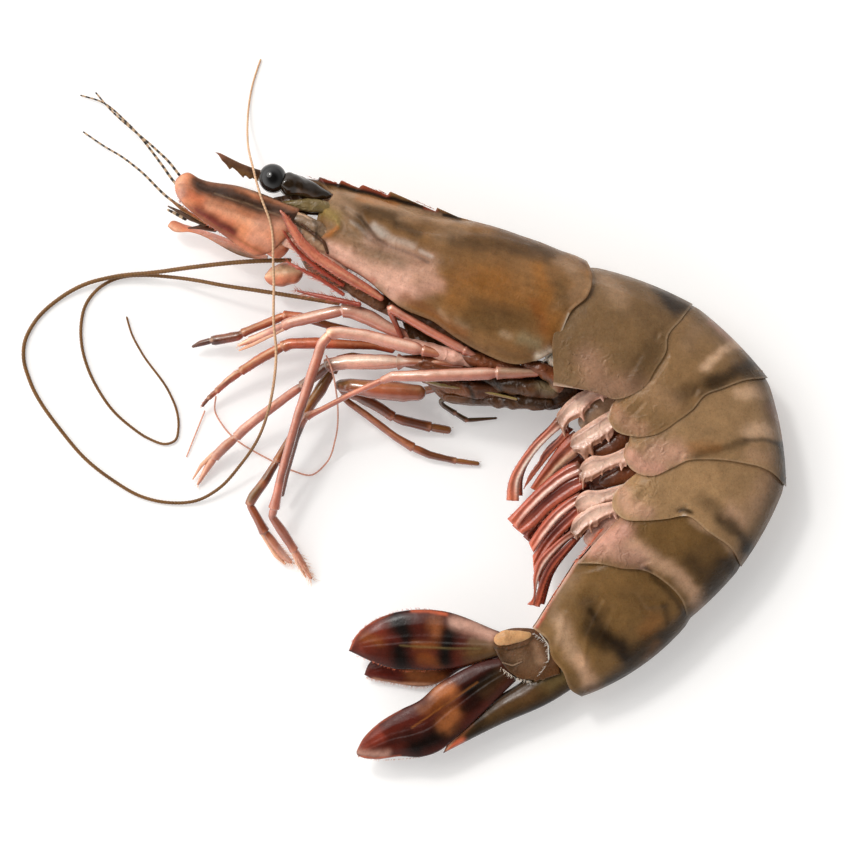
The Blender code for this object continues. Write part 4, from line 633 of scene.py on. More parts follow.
# Low relief: height, half width, then x and y of each point of its route.
SHIELD_RELIEF = (
    (-0.4, 0.55, -10.6, 35.8, -7.9, 33.8, -6.1, 31, -3.4, 29),
    (0.3, 0.5, -11.6, 35.2, -9, 33, -7.2, 30.5, -4.6, 28.3),
    (0.3, 0.6, -9.4, 30.1, -6.1, 29.2, -2.5, 27.9, 2.9, 26.3),
    (-0.22, 0.5, -8.5, 28.9, -5.4, 28, -2, 26.8, 2.9, 25.2),
    (0.4, 0.45, -14, 35.3, -12.2, 34, -11.7, 32.6, -12.4, 31.7, -14.2, 30.8, -15.3, 30.1),
    (0.22, 0.7, -0.4, 34, 6.5, 33.5, 13.7, 32.6), (-0.2, 0.6, -1, 32.9, 4, 31.9, 9, 30.9),
    (0.2, 0.8, 3, 30.4, 9.5, 30.8, 16, 30.4, 22, 29),
    (0.16, 0.45, -4.7, 21.6, -0.7, 18.6, 4.7, 16.3, 10.1, 13.2, 14.6, 10.9), (0.3, 0.8, -7, 35.3),
    (0.25, 0.6, -9.3, 28.4), (0.35, 0.7, 24.7, 9.6, 26.2, 10.4),
)
RING_RELIEF = (
    ((0.28, 0.35, 46.2, 13), (-0.22, 0.4, 45.5, 13.6, 45.2, 12.5), (-0.15, 0.5, 42.5, 9.5, 40, 5.5)),
    (
        (0.34, 0.35, 53.1, 2.7), (-0.24, 0.4, 52.4, 3.4, 52, 2.4), (-0.25, 0.5, 47, 9, 44.5, 5.2),
        (0.2, 0.4, 41.8, 1.8, 39.6, -0.4, 38.6, -2.4), (-0.2, 0.35, 42.9, 1, 40.8, -1.4, 39.9, -3),
    ),
    (
        (0.34, 0.35, 50.4, -8.7), (-0.24, 0.4, 49.6, -8.2, 49.4, -9.2),
        (0.2, 0.4, 43.4, -5.8, 41.4, -7.6, 40.6, -9.7), (-0.2, 0.35, 44.6, -6.6, 42.7, -8.7),
    ),
    (
        (0.36, 0.4, 50.1, -18.6), (-0.26, 0.4, 49.2, -18.3, 50.7, -17.7),
        (0.2, 0.35, 38.6, -14, 38.5, -17.5), (0.2, 0.4, 42.5, -14.4, 40.3, -16.2),
        (-0.2, 0.35, 43.6, -15.4, 41.2, -17.8),
    ),
    (
        (0.36, 0.4, 43.2, -28.4), (-0.26, 0.4, 42.4, -28, 44, -27.4), (0.16, 0.4, 35.3, -24.4, 33.3, -26.8),
        (-0.18, 0.35, 36.4, -25, 34.6, -27.4),
    ),
    (
        (0.22, 0.5, 43.7, -35.5, 46.8, -35.3), (-0.2, 0.35, 41.5, -33.5, 43.5, -36.5),
        (0.22, 0.5, 36, -35, 33, -41, 32.4, -46), (-0.2, 0.5, 37.3, -36, 34.6, -42),
        (0.2, 0.6, 29, -37, 27.6, -43),
    ),
)

# Wrinkled parts of the head shield: strength, half width, then x and y of each point of its route.
SHIELD_WRINKLES = (
    (1, 2.2, -14, 33, -9, 31, -3, 28.5), (0.8, 1.2, -15, 28, -8, 24, 0, 19), (0.5, 2, 17, 13, 23, 12),
    (1, 2.6, -14, 28, -8, 26, 0, 22.5),
)

# Roots of limbs on the face and the breast: tint, then a route of x, y, height, radius.
LIMB_ROOTS = {
    "face": (
        (
            "stalk", (-24.4, 36.6, 11.6, 1.2, 0.8), (-19, 36.8, 12.4, 1.9, 1), (-13, 36.4, 12.4, 2.2, 1),
            (-8, 34, 12, 2, 1),
        ),
        (
            "green", (-22.4, 36.4, 13.4, 0.7, 0.5), (-18, 36.5, 14.2, 1.2, 0.7), (-14, 36, 14.2, 1.1, 0.7),
            (-9, 34, 13.6, 0.7, 0.5),
        ),
        (
            "rosetan", (-24.6, 36.2, 13.6, 0.25), (-20.6, 35.4, 14.6, 0.4), (-16.6, 33.8, 15.4, 0.45),
            (-13.4, 31, 15.6, 0.35),
        ),
        (
            "grey", (-24.4, 35.4, 13.4, 0.8, 0.5), (-20, 34.2, 14.6, 1.3, 0.7), (-16, 32.4, 15.4, 1.4, 0.8),
            (-12, 29.6, 15, 1, 0.6),
        ),
        (
            "rosetan", (-23.6, 33.2, 13.4, 0.7, 0.5), (-19.8, 31.8, 14.8, 1.2, 0.7),
            (-16, 29.8, 15.2, 1.3, 0.8), (-11, 27, 14.6, 1, 0.6),
        ),
        (
            "lilac", (-24, 31, 13, 0.8, 0.5), (-20, 29.8, 14, 1.4, 0.7), (-15.5, 27.8, 14.4, 1.6, 0.8),
            (-10, 25, 14.2, 1.2, 0.6),
        ),
        ("flesh", (-18.6, 33.2, 15.8, 0.25), (-14.4, 29.8, 16.2, 0.35), (-13.6, 27.6, 15.6, 0.25)),
        ("skin", (-16.5, 26, 13, 1), (-12.5, 23.8, 13.6, 1.6, 1), (-3, 18.2, 13.6, 1.5, 0.9)),
    ),
    "tail_joint_L": (
        ("amber", (16.2, -42, 9.6, 0.9, 0.4), (18.2, -41.4, 9.9, 1.4, 0.5), (23.2, -40.9, 9.6, 0.7, 0.3)),
        ("silver", (24.4, -40.4, 9.9, 0.15), (26, -42.6, 10.1, 0.16), (26.1, -45.4, 10, 0.14)),
        ("grey", (17.6, -45.8, 9.6, 0.12), (19.6, -46.4, 9.8, 0.16), (21.4, -45.6, 9.9, 0.12)),
    ),
    "feeler_stalk_R": (
        ("brown", (-42.6, 36.4, 9, 0.12), (-38.2, 34.2, 9.6, 0.6), (-35.4, 33, 9.4, 0.5)),
        ("orange", (-42.2, 37.6, 10, 0.1), (-40, 35.8, 10.6, 0.35), (-34.5, 32.8, 10.6, 0.3)),
        ("leg_dark", (-39, 32.4, 8.6, 0.12), (-36.4, 32.6, 9, 0.45), (-33.6, 32, 9.2, 0.5)),
    ),
    "swimming_leg_1_L": (
        ("rosetan", (38.4, 2, 11, 1.4, 0.6), (35, -0.4, 11.2, 2.3, 0.8), (31.8, -3.6, 10.8, 1.6, 0.6)),
    ),
    "swimming_leg_2_L": (
        ("leg_root", (41, -4.6, 10.6, 1.3, 0.7), (37.4, -7, 10.8, 1.6, 0.8), (33.6, -8.6, 10.4, 1, 0.5)),
    ),
    "swimming_leg_3_L": (
        ("leg_root", (42.8, -11, 10.8, 1.4, 0.7), (38.8, -12.2, 11, 1.6, 0.8), (35, -13.6, 10.6, 1, 0.5)),
    ),
    "swimming_leg_5_L": (
        ("rose", (40.6, -17.8, 11, 1.2, 0.6), (36.6, -20.2, 11.2, 2.3, 0.8), (32.8, -24.6, 10.8, 1.3, 0.5)),
    ),
    "breast": (
        (
            "skin", (-8, 20.6, 12.6, 1.2, 0.8), (5, 15, 13.6, 1.9, 1), (12, 11.6, 13.8, 1.8, 1),
            (20, 9, 13.6, 1.4, 0.8),
        ),
        ("rose", (-0.5, 12, 14, 1), (9, 9.2, 15, 1.4), (13, 8.2, 14.8, 1)),
        ("leg_root", (-1, 8.6, 12.8, 1), (4, 8, 13.6, 1.4), (13, 6.6, 13.6, 1)),
        ("leg_root", (8, 10.2, 14.6, 0.9), (13, 8.6, 15.4, 1.3), (18, 7.4, 15.6, 1.3), (22, 6.4, 15, 0.9)),
        ("leg_dark", (3, 5.6, 12, 1), (8, 4.4, 13.2, 1.6), (13, 3.4, 13.6, 1.7), (18, 3, 13.2, 1.3)),
        ("flesh", (13, 5.4, 13, 1), (18, 4.4, 14.2, 1.7), (23, 3.6, 14.4, 1.7), (28, 2.8, 13.8, 1.2)),
        # A cream lump at the shield's lower rear corner carries a painted highlight there.
        ("cream", (23.4, 11.4, 14.8, 0.6), (26.2, 9.8, 15.8, 1.2), (27.2, 7.4, 15.4, 0.9)),
        ("leg_root", (21, 8, 15.2, 1), (24.5, 7.2, 15.8, 1.3), (27, 5.4, 15.2, 1.4), (28, 2.8, 14.2, 1.3)),
        ("flesh", (7, 2, 11.6, 0.8), (17, 1.4, 12.6, 1.4), (23, 1, 12.8, 1.5), (27, 0.8, 12.8, 1)),
    ),
}
# Ground tint of each tail ring, and how light it is.
RING_TINTS = (
    ("ring", 0.76), ("ring", 0.95), ("ring_pale", 1.2), ("ring_pale", 1.35), ("ring_dark", 1.25),
    ("ring_dark", 1.4),
)

# Joints of each limb, as places in its route.
JOINTS = {
    "walking_leg_01": (1, 2, 5), "walking_leg_02": (2, 4, 7, 8, 11), "walking_leg_03": (2, 5, 10, 14),
    "walking_leg_04": (4, 7, 11), "walking_leg_05": (3, 5), "walking_leg_06": (2, 3, 6, 7, 10),
    "walking_leg_07": (1, 3, 7), "walking_leg_08": (1, 3, 7), "walking_leg_09": (1, 2),
    "jaw_leg_L": (1, 2, 4, 6), "jaw_leg_R": (2, 5, 6),
}
# How far the second finger of each small claw stands off at its tip, in XY.
CLAW_FINGERS = {
    "walking_leg_01": (0.2, -0.9), "walking_leg_02": (-0.9, 1), "walking_leg_03": (-1, 0.3),
    "walking_leg_06": (-1.2, -0.2),
}
LEG_PAINTED_LIGHT_WAY = (-0.33, 0.45, 0.83)  # way the painted highlight on a limb's upper side faces
# Hairs of a limb: from and to as shares of its route from the tip, count, length, tint.
LIMB_HAIRS = {
    "walking_leg_01": ((0, 0.1, 30, 0.8, "leg_tip"),),
    "walking_leg_02": ((0, 0.06, 26, 0.8, "leg_tip"),),
    "walking_leg_03": ((0, 0.08, 120, 1.6, "leg_tip"),),
    "walking_leg_06": ((0, 0.08, 90, 1.3, "leg_tip"),),
    "walking_leg_07": ((0, 0.25, 40, 0.5, "orange"),),
    "walking_leg_08": ((0, 0.2, 40, 0.5, "orange"),),
    "jaw_leg_L": ((0, 0.62, 260, 0.6, "coral"), (0.6, 0.9, 60, 0.5, "leg_brown")),
    "jaw_leg_R": ((0.1, 0.62, 160, 0.5, "leg_red"),),
    "mouth_palp": ((0.05, 0.95, 260, 0.8, "coral"), (0.05, 0.95, 120, 0.7, "peach")),
    "mouth_lash": ((0, 1, 200, 1.1, "coral"),),
    "mouth_brush_1": ((0, 1, 190, 1.4, "leg_red"),),
    "mouth_brush_2": ((0, 1, 170, 1.2, "coral"),),
}
# Ground tints of the limbs that differ from the rest of their kind.
LIMB_TINTS = {
    "walking_leg_06": "leg_brown", "walking_leg_07": "leg_brown", "walking_leg_08": "leg_brown",
    "walking_leg_09": "olive", "walking_leg_10": "yellow", "mouth_palp": "palp",
}
# Colour fields on the plates of a swimming leg: tint, strength, then middle and reach from its tip to
# its root and across it, as shares of the plate.
# The dark red fields are partly the plates' own dark red and partly painted shade between the overlapping
# plates.
SWIMMER_FIELDS = {
    "stalk": ("lilac", (("petal", 0.7, 0.6, 0.4, 0.4, 0.3), ("swim_dark", 0.4, 0.6, 0.4, 0.2, 0.07),
                        ("rust", 0.75, 0.4, 0.35, 0.9, 0.14), ("brown", 0.9, 0.0, 0.28, 0.5, 0.8))),
    "blade": ("swimmer", (("red", 0.4, 0.5, 1.0, 0.05, 0.1), ("swim_dark", 0.65, 0.6, 0.5, 0.38, 0.18),
                          ("swim_pale", 1.0, 0.52, 0.45, 0.78, 0.2), ("coral", 0.7, 0.0, 0.14, 0.5, 1.0),
                          ("brown", 0.9, 1.0, 0.1, 0.5, 1.0))),
    "inner": ("swimmer", (("swim_dark", 0.95, 0.6, 0.55, 0.35, 0.4), ("coral", 0.6, 0.4, 0.5, 0.95, 0.1),
                          ("coral", 0.7, 0.0, 0.14, 0.5, 1.0))),
}
# Share of the full light and colour on each pair's plates: the first is paler, the second browner.
SWIMMER_SHARES = ((1.15, 1.45, 1.5), (0.75, 0.7, 0.55), 1.0, 1.0, 1.0)
# Rows of hairs at one height: tint, count, length, height, direction in XY, then x and y of each point.
EDGE_HAIRS = {
    "head_shield": (
        ("red", 9, 0.8, 10.2, -0.95, 0.3, -16.8, 41.5, -15.3, 41),
        ("red", 26, 0.9, 10.2, -0.9, 0.45, -14, 40.9, -11.8, 40.4),
        ("red", 30, 1, 10.2, -0.9, 0.45, -10.6, 40.4, -8, 39.5),
        ("red", 30, 1, 10.2, -0.9, 0.45, -5.6, 39.2, -3, 38.5),
        ("red", 26, 0.9, 10.2, -0.9, 0.45, 2.4, 37.1, 5.6, 35.7),
        ("red", 60, 0.8, 14, -0.7, -0.7, -15.8, 29.2, -13.3, 27, -9.7, 24.8, -5.8, 22.5),
        ("cream", 30, 0.9, 17, -0.5, -0.85, 25, 8.6, 26.6, 9.6),
    ),
    "tail_ring_1": (("rose", 50, 0.5, 18, -0.4, -0.9, 34, 2.9, 38, 1.8, 41, 2.3),),
    "tail_ring_5": (("coral", 150, 1.3, 16.5, -0.85, -0.5, 36, -21.4, 33.5, -24.5, 31, -27.6),),
    "tail_ring_6": (("coral", 120, 0.7, 14, -0.9, -0.3, 30.8, -28.6, 28, -32, 25.9, -36, 24.2, -39),),
    "tail_blade_outer_L": (
        ("coral", 110, 0.45, 6.6, -0.5, 0.85, -9.6, -42.6, -7, -39.4, -2.5, -37.1, 4, -36.3, 9, -37.6),
        ("coral", 80, 0.4, 6, -0.5, -0.85, -9, -44.5, -6, -45.5, -1.6, -47.1, 8, -47.1),
    ),
    "tail_blade_outer_R": (
        ("pink", 150, 0.6, 1.5, -0.4, -0.9, -7, -48.5, -2.9, -49.5, 5.6, -49.9, 8, -48.8),
    ),
    "tail_blade_inner_L": (("pink", 80, 0.45, 6.5, -0.5, -0.85, -8.4, -62.7, -5.2, -63.3, 2.9, -62.9),),
    "tail_joint_L": (
        ("silver", 60, 0.9, 10.5, -0.8, -0.3, 23.4, -40.4, 25.7, -42.5, 26, -45.6, 24.4, -48),
        ("cream", 50, 0.9, 10.2, -0.3, -0.9, 17.4, -46.6, 20.4, -48.6, 23, -49.2),
    ),
    "antennal_scale_L": (
        ("coral", 200, 0.5, 14.2, -0.7, -0.7, -41, 40, -40.3, 37.4, -36.7, 34, -30.4, 30.2, -26, 27.6),
    ),
}

# The tints are as they look in the light, which is brighter than white card in plain daylight.
TINT_SHARE = 0.8
# Surface colours as sRGB hex values.
TINT_CODES = {
    "cream": "EAD9C4", "white": "F4EAE0", "tan": "B08E70", "band": "D0AA88", "rosetan": "C09878",
    "dark": "241606", "grey": "8C7056", "blue_grey": "8A7A5C", "pale": "B89C7C", "olive": "64492A",
    "olive_deep": "3E2C18", "black": "0C0603", "lilac": "E4B29C", "rose": "D8A490", "pink": "D49C88",
    "ochre": "A8682E", "orange": "94602C", "rust": "8C4E20", "red": "A84632", "yellow": "9A824A",
    "brown": "5A3A20", "tooth": "8A5A48", "beak": "5E3E2C", "maroon": "5C1E14", "coral": "E0704C",
    "peach": "F2B08A", "leg_pink": "D6947C", "leg_pale": "FFCDB4", "leg_red": "C86A48",
    "leg_brown": "AA6236", "leg_dark": "542E18", "leg_root": "7A4428", "scale_stripe": "3A261A",
    "thread": "D9B08C", "shell": "86603A", "ring": "8E6D49", "ring_pale": "90714F", "ring_dark": "6A4E2C",
    "scale": "EE9A6E", "fan": "4E1C12", "swimmer": "DC6E50", "petal": "FFDCC6", "feeler": "7A5630",
    "flesh": "5A3820", "stalk": "5A3E2A", "eye": "070504", "skin": "6A4228", "fan_orange": "B0683A",
    "swim_dark": "5E1A10", "swim_pale": "FFD6C4", "green": "7E6A42", "amber": "C69668", "palp": "D27E60",
    "leg_tip": "F6C098", "silver": "D8CFC4",
}


def linear(code):
    """Turn an sRGB hex colour into linear red, green and blue."""
    levels = [int(code[at:at + 2], 16) / 255 for at in (0, 2, 4)]
    return tuple(c / 12.92 if c <= 0.04045 else ((c + 0.055) / 1.055) ** 2.4 for c in levels)


class PrawnLooks(bpy.types.PropertyGroup):
    """Sizes and colours of the prawn that a user would change."""

    crest_height: bpy.props.FloatProperty(
        name="Crest height", description="Height of the thin crest on the head shield", default=0.0014,
        min=0.0005, max=0.003, unit="LENGTH", subtype="DISTANCE")
    relief: bpy.props.FloatProperty(
        name="Shell relief", description="Share of the full depth of grooves and ridges", default=1.0,
        min=0.0, max=2.0, subtype="FACTOR")
    hair_length: bpy.props.FloatProperty(
        name="Hair length", description="Length of the hairs against their usual length", default=1.0,
        min=0.2, max=2.0, subtype="FACTOR")
    speckle: bpy.props.FloatProperty(
        name="Speckle", description="How dark the pigment dots in the shell are", default=0.14,
        min=0.0, max=1.0, subtype="FACTOR")
    shell_colour: bpy.props.FloatVectorProperty(
        name="Head shield", description="Ground colour of the head shield", size=3, subtype="COLOR",
        default=linear(TINT_CODES["shell"]))
    ring_colour: bpy.props.FloatVectorProperty(
        name="Tail rings", description="Ground colour of the tail rings", size=3, subtype="COLOR",
        default=linear(TINT_CODES["ring"]))
    leg_colour: bpy.props.FloatVectorProperty(
        name="Legs", description="Ground colour of the walking legs", size=3, subtype="COLOR",
        default=linear(TINT_CODES["leg_pink"]))
    fan_colour: bpy.props.FloatVectorProperty(
        name="Tail fan", description="Ground colour of the tail fan", size=3, subtype="COLOR",
        default=linear(TINT_CODES["fan"]))
    swimmer_colour: bpy.props.FloatVectorProperty(
        name="Swimming legs", description="Ground colour of the swimming legs", size=3, subtype="COLOR",
        default=linear(TINT_CODES["swimmer"]))
    feeler_colour: bpy.props.FloatVectorProperty(
        name="Feelers", description="Ground colour of the long feelers", size=3, subtype="COLOR",
        default=linear(TINT_CODES["feeler"]))


USER_TINTS = {"shell": "shell_colour", "ring": "ring_colour", "leg_pink": "leg_colour", "fan": "fan_colour",
              "swimmer": "swimmer_colour", "feeler": "feeler_colour"}


def tint(name):
    """Return a named tint as the user set it, or as the table gives it, less what the light adds."""
    if name in USER_TINTS:
        return np.array(getattr(bpy.context.scene.prawn_looks, USER_TINTS[name])) * TINT_SHARE
    return np.array(linear(TINT_CODES[name])) * TINT_SHARE


# --- curves and fields -----------------------------------------------------------------
def smooth(points, fractions):
    """Read a smooth curve through the points at the given fractions of its length."""
    values = np.array(points, dtype=float)
    spans = np.maximum(np.linalg.norm(np.diff(values[:, :3], axis=0), axis=1), 1e-6)
    marks = np.concatenate(([0.0], np.cumsum(spans)))
    slopes = np.diff(values, axis=0) / spans[:, None]
    before, after = spans[:-1, None], spans[1:, None]
    inner = (slopes[:-1] * after + slopes[1:] * before) / (before + after)
    tangents = np.vstack((slopes[:1], inner, slopes[-1:]))
    places = np.asarray(fractions, dtype=float) * marks[-1]
    index = np.clip(np.searchsorted(marks, places, side="right") - 1, 0, len(spans) - 1)
    step = spans[index, None]
    part = (places[:, None] - marks[index, None]) / step
    square, cube = part ** 2, part ** 3
    return ((2 * cube - 3 * square + 1) * values[index] + (cube - 2 * square + part) * step * tangents[index]
            + (3 * square - 2 * cube) * values[index + 1] + (cube - square) * step * tangents[index + 1])


def crisp(points, count):
    """Read straight runs through the points with corners softened over about a millimetre."""
    values = np.array(points, dtype=float)
    marks = np.concatenate(([0.0], np.cumsum(np.linalg.norm(np.diff(values[:, :3], axis=0), axis=1))))
    places = evenly(count) * marks[-1]
    line = np.column_stack([np.interp(places, marks, column) for column in values.T])
    reach = max(int(0.6 * count / marks[-1]), 1)
    padded = np.pad(line, ((reach, reach), (0, 0)), mode="reflect", reflect_type="odd")
    window = np.hanning(2 * reach + 3)[1:-1]
    return np.column_stack([np.convolve(column, window / window.sum(), "valid") for column in padded.T])


def evenly(count):
    """Return count fractions from 0 to 1."""
    return np.linspace(0.0, 1.0, count)


def ease(values):
    """Ease values from 0 to 1, and hold them outside that range."""
    held = np.clip(values, 0.0, 1.0)
    return held * held * (3 - 2 * held)


def bell(values, middle, width):
    """Fall from 1 at the middle to nearly 0 at twice the width from it."""
    return np.exp(-((values - middle) / width) ** 2)


def unit(vectors):
    """Scale vectors to a length of 1."""
    return vectors / np.maximum(np.linalg.norm(vectors, axis=-1), 1e-9)[..., None]


def length_of(route):
    """Length of a route through its points."""
    return np.linalg.norm(np.diff(np.array(route, dtype=float)[:, :3], axis=0), axis=1).sum()


def soft_noise(points, size, seed):
    """Smooth random values from -1 to 1 that change over about size millimetres."""
    table = np.random.default_rng(seed).uniform(-1, 1, 8192)
    cells = np.asarray(points) / size
    base = np.floor(cells).astype(np.int64)
    part = ease(cells - base)
    total = np.zeros(cells.shape[:-1])
    for corner in itertools.product((0, 1), repeat=cells.shape[-1]):
        key = base + corner
        index = key[..., 0] * 73856093
        for axis, prime in zip(range(1, cells.shape[-1]), (19349663, 83492791)):
            index = index ^ key[..., axis] * prime
        weight = np.prod(np.where(corner, part, 1 - part), axis=-1)
        total += weight * table[index % len(table)]
    return total


def nearness(places, route, half_width):
    """Fade from 1 on a route in XY to 0 a little beyond its half width."""
    route = np.reshape(route, (-1, 2)).astype(float)
    if len(route) == 1:
        route = np.repeat(route, 2, axis=0)
    best = np.full(places.shape[:-1], np.inf)
    for start, end in zip(route[:-1], route[1:]):
        span = end - start
        part = np.clip(((places - start) @ span) / max(span @ span, 1e-9), 0, 1)
        gap = places - start - part[..., None] * span
        best = np.minimum(best, (gap ** 2).sum(-1))
    return np.exp(-(best / half_width ** 2) ** 1.2)


def paint(points, base, marks=(), mottle=0.1, seed=3, share=1.0):
    """Colour points with a base tint under the marks, their edges broken up by noise."""
    warp = np.stack([soft_noise(points, 2.2, seed) + 0.5 * soft_noise(points, 0.9, seed + 1),
                     soft_noise(points, 2.2, seed + 2) + 0.5 * soft_noise(points, 0.9, seed + 3)], axis=-1)
    colours = np.ones(points.shape) * tint(base) * share
    for name, strength, half_width, *route in marks:
        places = points[..., :2] + warp * min(0.4, half_width * 0.35)
        weight = strength * nearness(places, route, half_width)
        colours += (tint(name) - colours) * weight[..., None]
    light = 1 + mottle * soft_noise(points, 4.5, seed + 4) + 0.7 * mottle * soft_noise(points, 1.4, seed + 5)
    return colours * light[..., None]


def relief_of(places, bumps):
    """Add up the heights of low bumps and grooves at places in XY."""
    total = np.zeros(places.shape[:-1])
    for height, half_width, *route in bumps:
        total += height * nearness(places, route, half_width)
    return total * bpy.context.scene.prawn_looks.relief


# --- meshes ----------------------------------------------------------------------------
def wrap(name, points, colours):
    """Lay a grid over rows and columns of points, and close it where its points meet."""
    rows, columns = points.shape[:2]
    bpy.ops.object.select_all(action="DESELECT")
    bpy.ops.mesh.primitive_grid_add(x_subdivisions=columns - 1, y_subdivisions=rows - 1, size=MM)
    piece = bpy.context.object
    piece.name = piece.data.name = name
    piece.data.vertices.foreach_set("co", (points.reshape(-1, 3) * MM).ravel())
    store_tint(piece, colours.reshape(-1, colours.shape[-1]))
    bpy.ops.object.mode_set(mode="EDIT")
    bpy.ops.mesh.select_all(action="SELECT")
    bpy.ops.mesh.remove_doubles(threshold=1e-7)
    bpy.ops.mesh.dissolve_degenerate(threshold=1e-8)
    bpy.ops.mesh.normals_make_consistent(inside=False)
    bpy.ops.object.mode_set(mode="OBJECT")
    bpy.ops.object.shade_smooth()
    return piece


def store_tint(piece, colours):
    """Keep a linear colour on each vertex, and in its fourth channel how wrinkled the skin is."""
    layer = piece.data.color_attributes.new("tint", "FLOAT_COLOR", "POINT")
    full = np.full((len(colours), 4), 0.4)
    full[:, :colours.shape[1]] = np.clip(colours, 0.0, 1.0)
    layer.data.foreach_set("color", full.ravel())


def join(pieces):
    """Join pieces into the first one."""
    bpy.ops.object.select_all(action="DESELECT")
    for piece in pieces:
        piece.select_set(True)
    bpy.context.view_layer.objects.active = pieces[0]
    if len(pieces) > 1:
        bpy.ops.object.join()
    return pieces[0]


def dress(piece, material, slot, *nodes):
    """Give a piece its material, let it ride the body and stand for its CAD nodes."""
    piece.data.materials.clear()
    piece.data.materials.append(material)
    bpy.ops.object.select_all(action="DESELECT")
    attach(piece, "root")
    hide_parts(*nodes)


def hairs(name, roots, tips, colours, radius):
    """Make one piece of many thin pointed hairs, each a closed three-sided cone."""
    # Real hairs are about 0.03 mm thick, and are drawn at 0.07 to 0.1 mm so that they show.
    spans = unit(tips - roots)
    side = unit(np.cross(spans, np.where(np.abs(spans[:, 2:]) > 0.8, (1.0, 0, 0), (0, 0, 1.0))))
    other = np.cross(spans, side)
    corners = [roots + radius * (side * math.cos(turn) + other * math.sin(turn))
               for turn in (0, 2 * math.pi / 3, 4 * math.pi / 3)]
    points = np.stack([*corners, tips], axis=1).reshape(-1, 3)
    faces = [(first + a, first + b, first + c) for first in range(0, len(points), 4)
             for a, b, c in ((0, 1, 3), (1, 2, 3), (2, 0, 3), (2, 1, 0))]
    mesh = bpy.data.meshes.new(name)
    mesh.from_pydata(points * MM, [], faces)
    mesh.uv_layers.new(name="UVMap")
    piece = bpy.data.objects.new(name, mesh)
    bpy.context.scene.collection.objects.link(piece)
    brighter_tips = np.tile([[0.9], [0.9], [0.9], [1.25]], (len(colours), 1))
    store_tint(piece, np.repeat(colours, 4, axis=0) * brighter_tips)
    return piece


def edge_hairs(name):
    """Make the fringe of a piece from its rows of hairs in XY."""
    pick = np.random.default_rng(11)
    scale = bpy.context.scene.prawn_looks.hair_length
    roots, tips, colours = [], [], []
    for colour, count, length, height, *numbers in EDGE_HAIRS[name]:
        direction, *route = points_of(2, numbers)
        places = smooth([(*point, height) for point in route], np.sort(pick.uniform(0, 1, count)))
        aim = np.array([*direction, 0.0]) + pick.normal(0, 0.22, (count, 3))
        reach = length * scale * pick.uniform(0.55, 1.1, count)
        roots.append(places)
        tips.append(places + aim * reach[:, None])
        colours.append(np.tile(tint(colour), (count, 1)) * pick.uniform(0.8, 1.15, (count, 1)))
    return hairs(name + "_hair", np.vstack(roots), np.vstack(tips), np.vstack(colours), radius=0.045)


# --- body ------------------------------------------------------------------------------
SKIN_COLUMNS = 84
FLAP_COLUMNS = 9
SHARES = evenly(SKIN_COLUMNS) ** 1.25
SHARES[-2] = 0.996          # keeps the lower margin crisp
PROFILE = np.clip(smooth(RIB_PROFILE, np.interp(SHARES, *np.array([
    (x, at) for at, x in zip(evenly(400), smooth(RIB_PROFILE, evenly(400))[:, 0])]).T))[:, 1], 0, 1)


def rim_distance(ribs):
    """Distance of each point of the skin from the rear rim, along the body."""
    steps = np.linalg.norm(np.diff(ribs, axis=0), axis=2)
    return np.vstack((np.cumsum(steps[::-1], axis=0)[::-1], np.zeros((1, ribs.shape[1]))))


def body_skin(ribs, half_widths, relief):
    """Raise ribs in XY to the left half of a skin, and push it out by the relief."""
    skin = np.concatenate((ribs, half_widths[..., None]), axis=2)
    normal = unit(np.cross(np.gradient(skin, axis=0), np.gradient(skin, axis=1)))
    normal *= np.sign(normal[..., 2:] + 1e-9)
    calm = ease((SHARES - 0.02) / 0.06)[None, :, None]
    return skin + normal * relief[..., None] * calm


